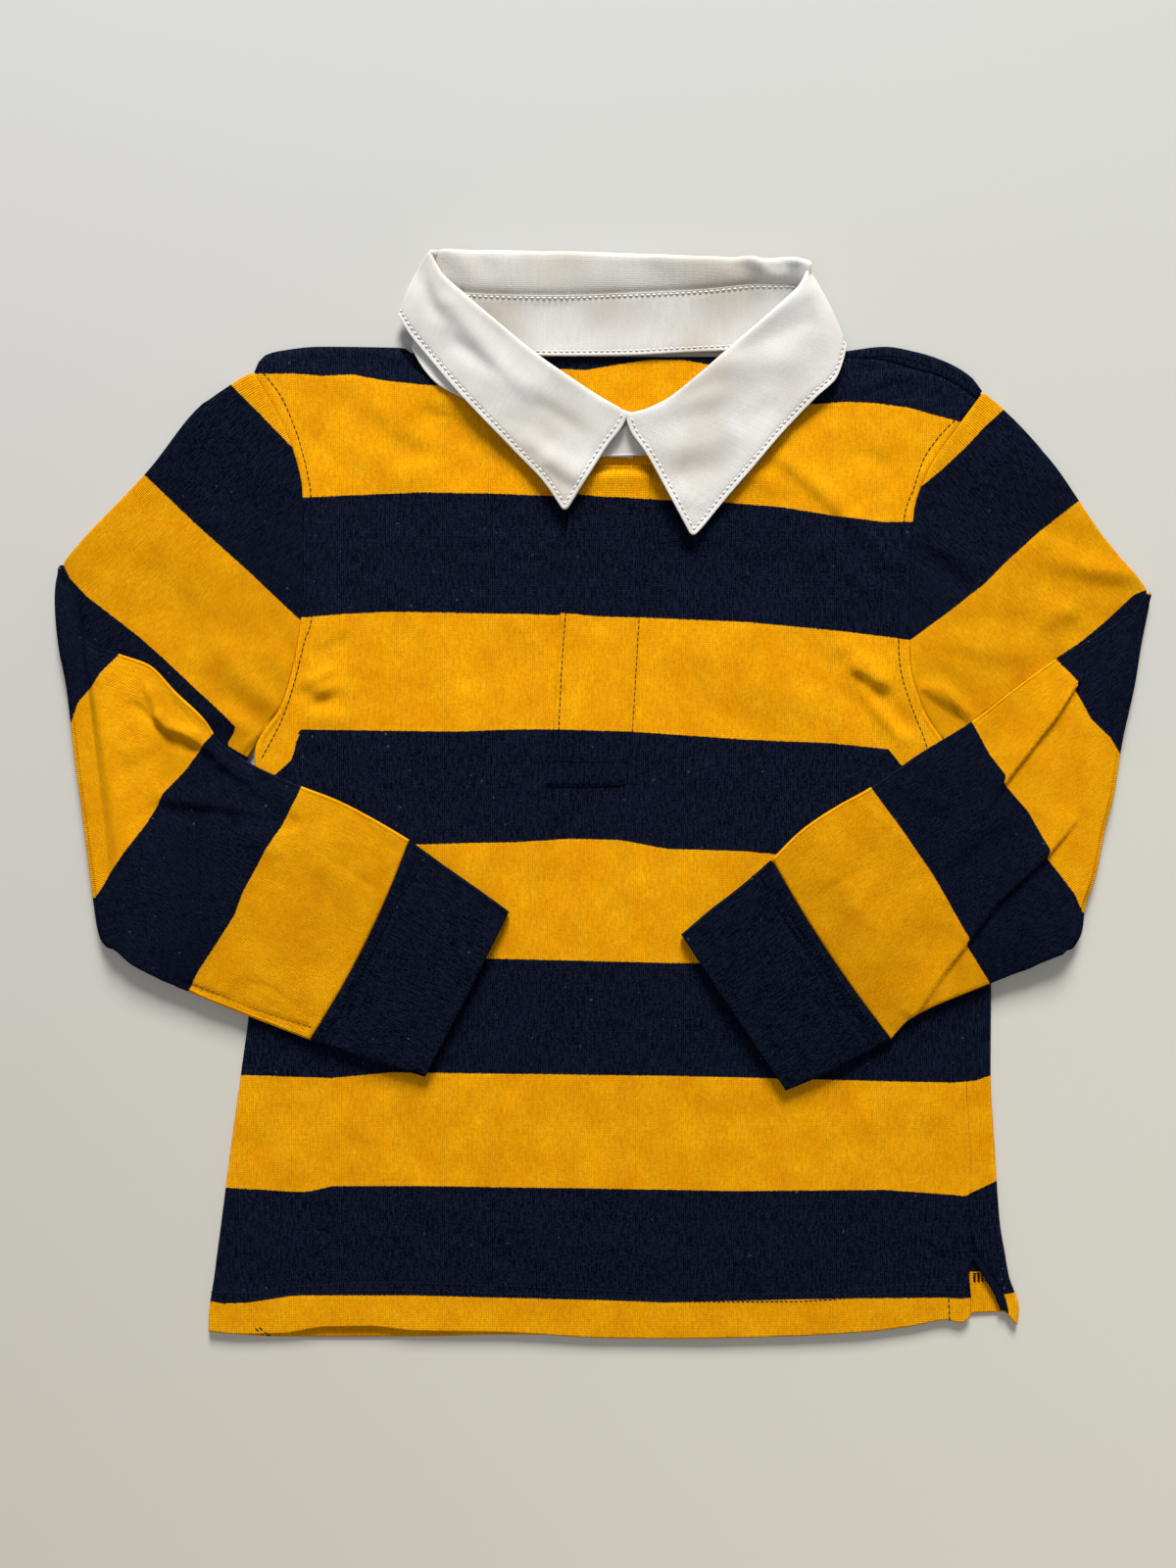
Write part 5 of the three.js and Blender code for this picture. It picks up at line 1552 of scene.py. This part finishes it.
def hooped_jersey(groups):
    material, tree, weave, place = cloth_material("hooped jersey")
    hoop = tree.nodes.new("ShaderNodeAttribute")
    hoop.attribute_name = "hoop"
    knit = place_group(tree, groups["knit"], Weave=weave.outputs[0])
    stray = noise_node(tree, weave.outputs[0], 900.0, 1.0)
    stray = math_node(tree, "MULTIPLY", math_node(tree, "SUBTRACT", stray, 0.5), 0.014)
    wave = sine_node(tree, math_node(tree, "ADD", hoop.outputs["Fac"], stray), math.pi)
    gold_mask = math_node(tree, "ADD", math_node(tree, "MULTIPLY", wave, 45.0), 0.5, clamp=True)
    cloud = noise_node(tree, place, 70.0, 3.0, 0.6)
    grain = noise_node(tree, weave.outputs[0], 700.0, 2.0, 0.7)
    worn = weighted(tree, (cloud, 0.6), (grain, 0.4))
    gold = mix_colour(tree, range_node(tree, worn, 0.35, 0.65), GOLD_DEEP, GOLD)
    # Gold goes towards GOLD_SHADE where the knit's tone is low: painted shade in the grooves between wales,
    # over the yarn's own uneven tone.
    gold = mix_colour(tree, range_node(tree, knit.outputs["Tone"], 0.4, 0.64, 0.55, 0.0), gold, GOLD_SHADE)
    lint = place_group(tree, groups["lint"], Vector=place, Share=0.34)
    navy = navy_colour(tree, worn, knit, lint, 0.6)
    colour = mix_colour(tree, gold_mask, navy, gold)
    finish_shader(tree, colour, knit.outputs["Height"], 0.8, 0.95, 0.0005)
    return material


def navy_jersey(groups):
    material, tree, weave, place = cloth_material("navy jersey")
    knit = place_group(tree, groups["knit"], Weave=weave.outputs[0])
    cloud = noise_node(tree, place, 120.0, 3.0, 0.6)
    lint = place_group(tree, groups["lint"], Vector=place, Share=0.3)
    navy = navy_colour(tree, cloud, knit, lint, 0.55)
    finish_shader(tree, navy, knit.outputs["Height"], 0.8, 0.95, 0.0005)
    return material


def white_twill():
    material, tree, weave, place = cloth_material("white twill")
    split = tree.nodes.new("ShaderNodeSeparateXYZ")
    link(tree, weave.outputs[0], split.inputs[0])
    slant = math_node(tree, "ADD", split.outputs[0], split.outputs[1])
    ribs = sine_node(tree, slant, 2 * math.pi / TWILL_RIB)
    threads = sine_node(tree, split.outputs[1], 2 * math.pi / TWILL_THREAD)
    cloud = noise_node(tree, place, 34.0, 1.5, 0.4)
    fine = noise_node(tree, weave.outputs[0], 1500.0, 2.0, 0.6)
    wale = streak_node(tree, weave.outputs[0], 900.0, 70.0)
    height = weighted(tree, (ribs, 0.5), (threads, 0.3), (fine, 1.0), (wale, 1.0))
    colour = mix_colour(tree, range_node(tree, cloud, 0.32, 0.6), TWILL_SHADE, WHITE)
    colour = mix_colour(tree, range_node(tree, fine, 0.35, 0.65, 0.22, 0.0), colour, TWILL_GAP)
    colour = mix_colour(tree, range_node(tree, wale, 0.35, 0.65, 0.16, 0.0), colour, TWILL_STREAK)
    finish_shader(tree, colour, height, 0.45, 0.9, 0.0002)
    return material


def plain_thread(name, colour, roughness=0.75):
    material = bpy.data.materials.new(name)
    tree = nodes_of(material)
    place = tree.nodes.new("ShaderNodeTexCoord").outputs["Object"]
    twist = noise_node(tree, place, 1800.0, 2.0)
    dark = tuple(c * 0.7 for c in colour)
    tone = mix_colour(tree, range_node(tree, twist, 0.3, 0.7), dark, colour)
    finish_shader(tree, tone, twist, 0.3, roughness, 0.0001)
    return material


def floor_material():
    material = bpy.data.materials.new("pale surface painted falloff")
    tree = nodes_of(material)
    place = tree.nodes.new("ShaderNodeTexCoord").outputs["Object"]
    cloud = noise_node(tree, place, 3.0, 2.0)
    split = tree.nodes.new("ShaderNodeSeparateXYZ")
    link(tree, place, split.inputs[0])
    # The colour changes across the floor to set how the light falls off: darker at the top, where the window
    # lights it most, lighter and warmer towards the bottom, and darker on the left at the bottom. This
    # gradient is painted light and shade, not the surface's own colour.
    left = range_node(tree, split.outputs[0], 0.26, -0.26)
    down = range_node(tree, split.outputs[1], 0.34, -0.34)
    top = mix_colour(tree, left, (0.428, 0.438, 0.415), (0.436, 0.438, 0.44))
    bottom = mix_colour(tree, left, (0.63, 0.605, 0.53), (0.53, 0.505, 0.44))
    colour = mix_colour(tree, down, top, bottom)
    colour = mix_colour(tree, range_node(tree, cloud, 0.3, 0.7, 0.0, 0.05), colour, (0.6, 0.6, 0.58))
    finish_shader(tree, colour, cloud, 0.0, 0.7)
    return material


# Stitches.

def stitch_tree():
    """Geometry Nodes: short threads set along a line at an even pitch, made into one mesh."""
    tree = bpy.data.node_groups.new("stitches", "GeometryNodeTree")
    tree.interface.new_socket("Line", in_out="INPUT", socket_type="NodeSocketGeometry")
    for label, default in (("Pitch", 0.0025), ("Length", 0.0018), ("Radius", 0.00022), ("Slant", 0.0)):
        socket = tree.interface.new_socket(label, in_out="INPUT", socket_type="NodeSocketFloat")
        socket.default_value = default
    tree.interface.new_socket("Thread", in_out="INPUT", socket_type="NodeSocketMaterial")
    tree.interface.new_socket("Stitches", in_out="OUTPUT", socket_type="NodeSocketGeometry")
    new = tree.nodes.new
    come, go = new("NodeGroupInput"), new("NodeGroupOutput")
    points = new("GeometryNodeCurveToPoints")
    points.mode = "LENGTH"
    link(tree, come.outputs["Line"], points.inputs["Curve"])
    link(tree, come.outputs["Pitch"], points.inputs["Length"])
    thread = new("GeometryNodeMeshUVSphere")
    thread.inputs["Segments"].default_value = 6
    thread.inputs["Rings"].default_value = 4
    thread.inputs["Radius"].default_value = 1.0
    size = new("ShaderNodeCombineXYZ")
    link(tree, come.outputs["Radius"], size.inputs[0])
    link(tree, come.outputs["Radius"], size.inputs[1])
    half = new("ShaderNodeMath")
    half.operation = "MULTIPLY"
    half.inputs[1].default_value = 0.5
    link(tree, come.outputs["Length"], half.inputs[0])
    link(tree, half.outputs[0], size.inputs[2])
    shape = new("GeometryNodeTransform")
    link(tree, thread.outputs["Mesh"], shape.inputs["Geometry"])
    link(tree, size.outputs[0], shape.inputs["Scale"])
    place = new("GeometryNodeInstanceOnPoints")
    link(tree, points.outputs["Points"], place.inputs["Points"])
    link(tree, shape.outputs[0], place.inputs["Instance"])
    turn = new("FunctionNodeAlignRotationToVector")
    turn.axis = "Z"
    link(tree, points.outputs["Tangent"], turn.inputs["Vector"])
    lean = new("FunctionNodeRotateRotation")
    lean.rotation_space = "LOCAL"
    link(tree, turn.outputs[0], lean.inputs[0])
    angle = new("ShaderNodeCombineXYZ")
    link(tree, come.outputs["Slant"], angle.inputs[0])
    as_turn = new("FunctionNodeEulerToRotation")
    link(tree, angle.outputs[0], as_turn.inputs[0])
    link(tree, as_turn.outputs[0], lean.inputs[1])
    link(tree, lean.outputs[0], place.inputs["Rotation"])
    made = new("GeometryNodeRealizeInstances")
    link(tree, place.outputs[0], made.inputs[0])
    dress = new("GeometryNodeSetMaterial")
    link(tree, made.outputs[0], dress.inputs["Geometry"])
    link(tree, come.outputs["Thread"], dress.inputs["Material"])
    link(tree, dress.outputs[0], go.inputs[0])
    return tree


class Sight:
    """Finds the places on a piece that a sighted plan line falls on."""

    def __init__(self, *pieces):
        verts, faces = [], []
        for piece in pieces:
            start = len(verts)
            verts += [v.co.copy() for v in piece.data.vertices]
            faces += [tuple(i + start for i in p.vertices) for p in piece.data.polygons]
        self.tree = BVHTree.FromPolygons(verts, faces)
        self.eye = Vector((EYE_X, EYE_Y, EYE_HEIGHT)) * MM

    def on(self, points, lift=0.05, step=1.0):
        pts = np.array(points, float)
        length = np.concatenate([[0], np.cumsum(np.hypot(*np.diff(pts, axis=0).T))])
        run = np.arange(0, length[-1], step)
        number = np.interp(run, length, np.arange(len(pts)))
        xs = catmull(np.arange(len(pts)), pts[:, 0])(number)
        ys = catmull(np.arange(len(pts)), pts[:, 1])(number)
        places = []
        for x, y in zip(xs, ys):
            way = (Vector((x, y, 0)) * MM - self.eye).normalized()
            hit = self.tree.ray_cast(self.eye, way)[0]
            if hit is not None:
                places.append(hit + Vector((0, 0, lift * MM)))
        return places


def stitch_line(name, tree, lines, thread, pitch, length, radius, slant=0.0):
    """One mesh of stitches along some lines of places."""
    curve = bpy.data.curves.new(name, "CURVE")
    curve.dimensions = "3D"
    for places in lines:
        if len(places) < 2:
            continue
        spline = curve.splines.new("POLY")
        spline.points.add(len(places) - 1)
        for point, place in zip(spline.points, places):
            point.co = (*place, 1.0)
    source = bpy.data.objects.new(name + "_line", curve)
    bpy.context.scene.collection.objects.link(source)
    made = source.modifiers.new("stitches", "NODES")
    made.node_group = tree
    values = {"Pitch": pitch * MM, "Length": length * MM, "Radius": radius * MM}
    values.update(Slant=slant, Thread=thread)
    for item in tree.interface.items_tree:
        if item.in_out == "INPUT" and item.name in values:
            made[item.identifier] = values[item.name]
    graph = bpy.context.evaluated_depsgraph_get()
    mesh = bpy.data.meshes.new_from_object(source.evaluated_get(graph))
    bpy.data.objects.remove(source)
    for polygon in mesh.polygons:
        polygon.use_smooth = True
    piece = bpy.data.objects.new(name, mesh)
    bpy.context.scene.collection.objects.link(piece)
    return piece


# The shirt.

groups = {"knit": knit_group(), "lint": lint_group()}
jersey = hooped_jersey(groups)
navy = navy_jersey(groups)
twill = white_twill()
navy_thread = plain_thread("navy thread", (0.004, 0.006, 0.015))
white_thread = plain_thread("white thread", (0.82, 0.80, 0.76))
gold_thread = plain_thread("gold thread", (0.62, 0.25, 0.01))
black_thread = plain_thread("dark thread", (0.0006, 0.0008, 0.002))
pale_thread = plain_thread("hem thread", (0.008, 0.013, 0.032))

front = front_panel(jersey)
back = back_panel(jersey)
left = sleeve(
    "sleeve_l", jersey, Arm(-1, "lx", OUTER_LEFT, ELBOW_LEFT, FOREARM_LEFT),
    ((-155, 188), (-0.68, -0.73), LEFT_UPPER_HOOPS, (0.86, -0.51), LEFT_FORE_HOOPS),
    (UPPER_LEFT_CREASES, LEFT_CREASES, ()),
)
right = sleeve(
    "sleeve_r", jersey, Arm(1, "rx", OUTER_RIGHT, ELBOW_RIGHT, FOREARM_RIGHT),
    ((168, 177), (0.62, -0.784), RIGHT_UPPER_HOOPS, (-0.855, -0.52), RIGHT_FORE_HOOPS),
    (UPPER_RIGHT_CREASES, RIGHT_CREASES, KNIFE_RIGHT),
)
cuff_l = cuff("cuff_l", navy, CUFF_LEFT, -1, 41)
cuff_r = cuff("cuff_r", navy, CUFF_RIGHT, 1, 43)
stand = collar_stand(twill)
fall = collar_fall(twill)
front_placket = placket(jersey)
tape = vent_tape(navy_thread)

# piece, CAD nodes, slot, flat size in metres, how it is held, what it rests on, and flat area
pieces = (
    (front, ("front_panel",), "hooped_jersey", (0.345, 0.44), "laid", ["back"], 0.134),
    (back, ("back_panel",), "hooped_jersey", (0.36, 0.44), "laid", ["back_panel"], 0.140),
    (left, ("left_sleeve",), "hooped_jersey", (0.25, 0.34), "folded", ["front"], 0.076),
    (right, ("right_sleeve",), "hooped_jersey", (0.25, 0.34), "folded", ["front"], 0.074),
    (cuff_l, ("left_cuff",), "navy_jersey", (0.175, 0.052), "laid", ["front"], 0.009),
    (cuff_r, ("right_cuff",), "navy_jersey", (0.175, 0.052), "laid", ["front"], 0.009),
    (stand, ("collar_stand",), "white_twill", (0.42, 0.03), "folded", ["front", "back"], 0.0105),
    (fall, ("collar_fall",), "white_twill", (0.42, 0.066), "folded", ["collar_stand_cloth"], 0.0235),
    (front_placket, ("placket",), "hooped_jersey", (0.036, 0.142), "laid", ["front"], 0.0050),
    (tape, ("vent_tape",), "navy_tape", None, "laid", ["back"], None),
)
for piece, nodes, slot, flat, held, rests_on, area in pieces:
    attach(piece, "root")
    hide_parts(*nodes)


# Rows of stitches, in the photo's own pixels.

FRAME_X, FRAME_Y, PIXEL = 616, 807, 0.43


def seen(points):
    """Places in the photo as sighted plan places."""
    return [((x - FRAME_X) * PIXEL, (FRAME_Y - y) * PIXEL) for x, y in points]


ARM_STITCH_LEFT = (
    (270, 382), (287, 405), (300, 435), (308, 460), (315, 490), (317, 507), (318, 560),
    (318, 628), (310, 657), (300, 697), (288, 733), (268, 772),
)
ARM_STITCH_RIGHT = (
    (973, 430), (957, 447), (943, 468), (932, 500), (923, 527), (919, 590), (917, 652),
    (920, 687), (930, 720), (941, 748), (946, 762),
)
PLACKET_LEFT = ((585, 527), (582, 569), (577, 627), (573, 684), (570, 744), (567, 776))
PLACKET_RIGHT = ((663, 510), (656, 580), (652, 633), (649, 684), (645, 747), (641, 777))
PLACKET_FOOT = (((566, 776), (603, 777), (640, 777)), ((566, 802), (603, 802), (640, 800)),
                ((564, 777), (563, 790), (564, 802)), ((641, 777), (641, 789), (640, 800)))
HEM_ROW = (
    (216, 1319), (254, 1319), (291, 1314), (334, 1311), (388, 1309), (480, 1311), (620, 1317), (688, 1320),
    (815, 1320), (880, 1315), (927, 1311), (986, 1312),
)
CUFF_ROW_LEFT = ((427, 877), (410, 901), (393, 930), (380, 955), (367, 983), (353, 1020), (347, 1040))
CUFF_ROW_RIGHT = ((776, 895), (797, 922), (820, 953), (853, 997), (887, 1045))
VENT_FACING = ((968, 1290), (967, 1310), (968, 1323), (969, 1346))
VENT_BAR = ((972, 1276), (981, 1277), (991, 1277))
VENT_LOOPS = ((994.5, 1300), (1004, 1300), (1012, 1300))
THREAD_ENDS = (((262, 1357), (268, 1362), (276, 1363)), ((266, 1356), (272, 1361)))
SLEEVE_SEAM = ((199, 1009), (230, 1022), (257, 1033), (290, 1044), (316, 1052))
SHOULDER_ROW = ((884, 363), (905, 363), (927, 366), (950, 374), (972, 386), (992, 400))


def shifted(points, x, y):
    return [(a + x, b + y) for a, b in points]


def add_stitches():
    tree = stitch_tree()
    body = Sight(front, back)
    chest = Sight(front, front_placket)
    cuffs = Sight(cuff_l, cuff_r)
    arm = Sight(left)
    seams = [ARM_STITCH_LEFT, ARM_STITCH_RIGHT, SHOULDER_ROW, VENT_FACING, VENT_BAR, *THREAD_ENDS]
    dark = [body.on(seen(line)) for line in seams]
    dark += [chest.on(seen(line)) for line in (PLACKET_LEFT, PLACKET_RIGHT, *PLACKET_FOOT)]
    hem = [body.on(seen(shifted(HEM_ROW, 0, drop))) for drop in (0, 8)]
    loops = [body.on(seen(shifted(VENT_LOOPS, 0, drop))) for drop in (0, 2.4, 4.8, 7.2)]
    rows = [cuffs.on(seen(shifted(line, shift, 0))) for line, shift in
            ((CUFF_ROW_LEFT, 0), (CUFF_ROW_LEFT, 8), (CUFF_ROW_RIGHT, 0), (CUFF_ROW_RIGHT, -8))]
    under = [arm.on(seen(SLEEVE_SEAM)), arm.on(seen(shifted(SLEEVE_SEAM, 1, -5)))]
    collar = [[Vector(p) * MM for p in PATHS[name]] for name in
              ("leaf_left", "leaf_right", "leaf_edge", "stand_top", "stand_foot")]
    # name, lines, thread, then the stitches' pitch, length, radius and slant, then the slot
    for name, lines, thread, sizes, slot in (
        ("seam_stitches", dark, navy_thread, (2.6, 2.2, 0.3), "navy_tape"),
        ("hem_stitches", hem, pale_thread, (2.1, 1.7, 0.26, 0.2), "navy_tape"),
        ("vent_stitches", loops, black_thread, (1.5, 1.5, 0.42, 0.6), "navy_tape"),
        ("cuff_stitches", rows, black_thread, (1.9, 1.6, 0.3, 0.5), "navy_tape"),
        ("sleeve_stitches", under, gold_thread, (2.4, 1.8, 0.18), "hooped_jersey"),
        ("collar_stitches", collar, white_thread, (2.5, 1.75, 0.42), "white_twill"),
    ):
        piece = stitch_line(name, tree, lines, thread, *sizes)
        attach(piece, "root")


add_stitches()


# Camera, light and surface.

FLOOR = 3.0


def studio():
    scene = bpy.context.scene
    camera = bpy.data.objects.new("camera", bpy.data.cameras.new("camera"))
    scene.collection.objects.link(camera)
    camera.location = (EYE_X * MM, EYE_Y * MM, EYE_HEIGHT * MM)
    camera.data.lens = LENS
    camera.data.sensor_width = 36
    camera.data.clip_start = 0.01
    scene.camera = camera
    scene.view_settings.view_transform = "Standard"
    world = bpy.data.worlds.new("soft room")
    scene.world = world
    world.use_nodes = True
    world.node_tree.nodes["Background"].inputs[0].default_value = (0.93, 0.96, 1.0, 1)
    world.node_tree.nodes["Background"].inputs[1].default_value = 0.28
    for name, place, size, power, colour in (
        ("window", (0.1, 2.1, 1.15), 0.8, 108.0, (1.0, 0.985, 0.96)),
        ("room", (-0.7, -0.7, 1.9), 1.6, 8.0, (1.0, 0.97, 0.93)),
    ):
        light = bpy.data.objects.new(name, bpy.data.lights.new(name, "AREA"))
        light.data.shape = "SQUARE"
        light.data.size = size
        light.data.energy = power
        light.data.color = colour
        light.location = place
        way = Vector((0, 0, 0)) - Vector(place)
        light.rotation_euler = way.to_track_quat("-Z", "Y").to_euler()
        scene.collection.objects.link(light)
    mesh = bpy.data.meshes.new("surface")
    corners = [(-FLOOR, -FLOOR, 0), (FLOOR, -FLOOR, 0), (FLOOR, FLOOR, 0), (-FLOOR, FLOOR, 0)]
    mesh.from_pydata(corners, [], [(0, 1, 2, 3)])
    mesh.materials.append(floor_material())
    surface = bpy.data.objects.new("surface", mesh)
    surface.location = (0, 0, -0.0003)
    scene.collection.objects.link(surface)


studio()
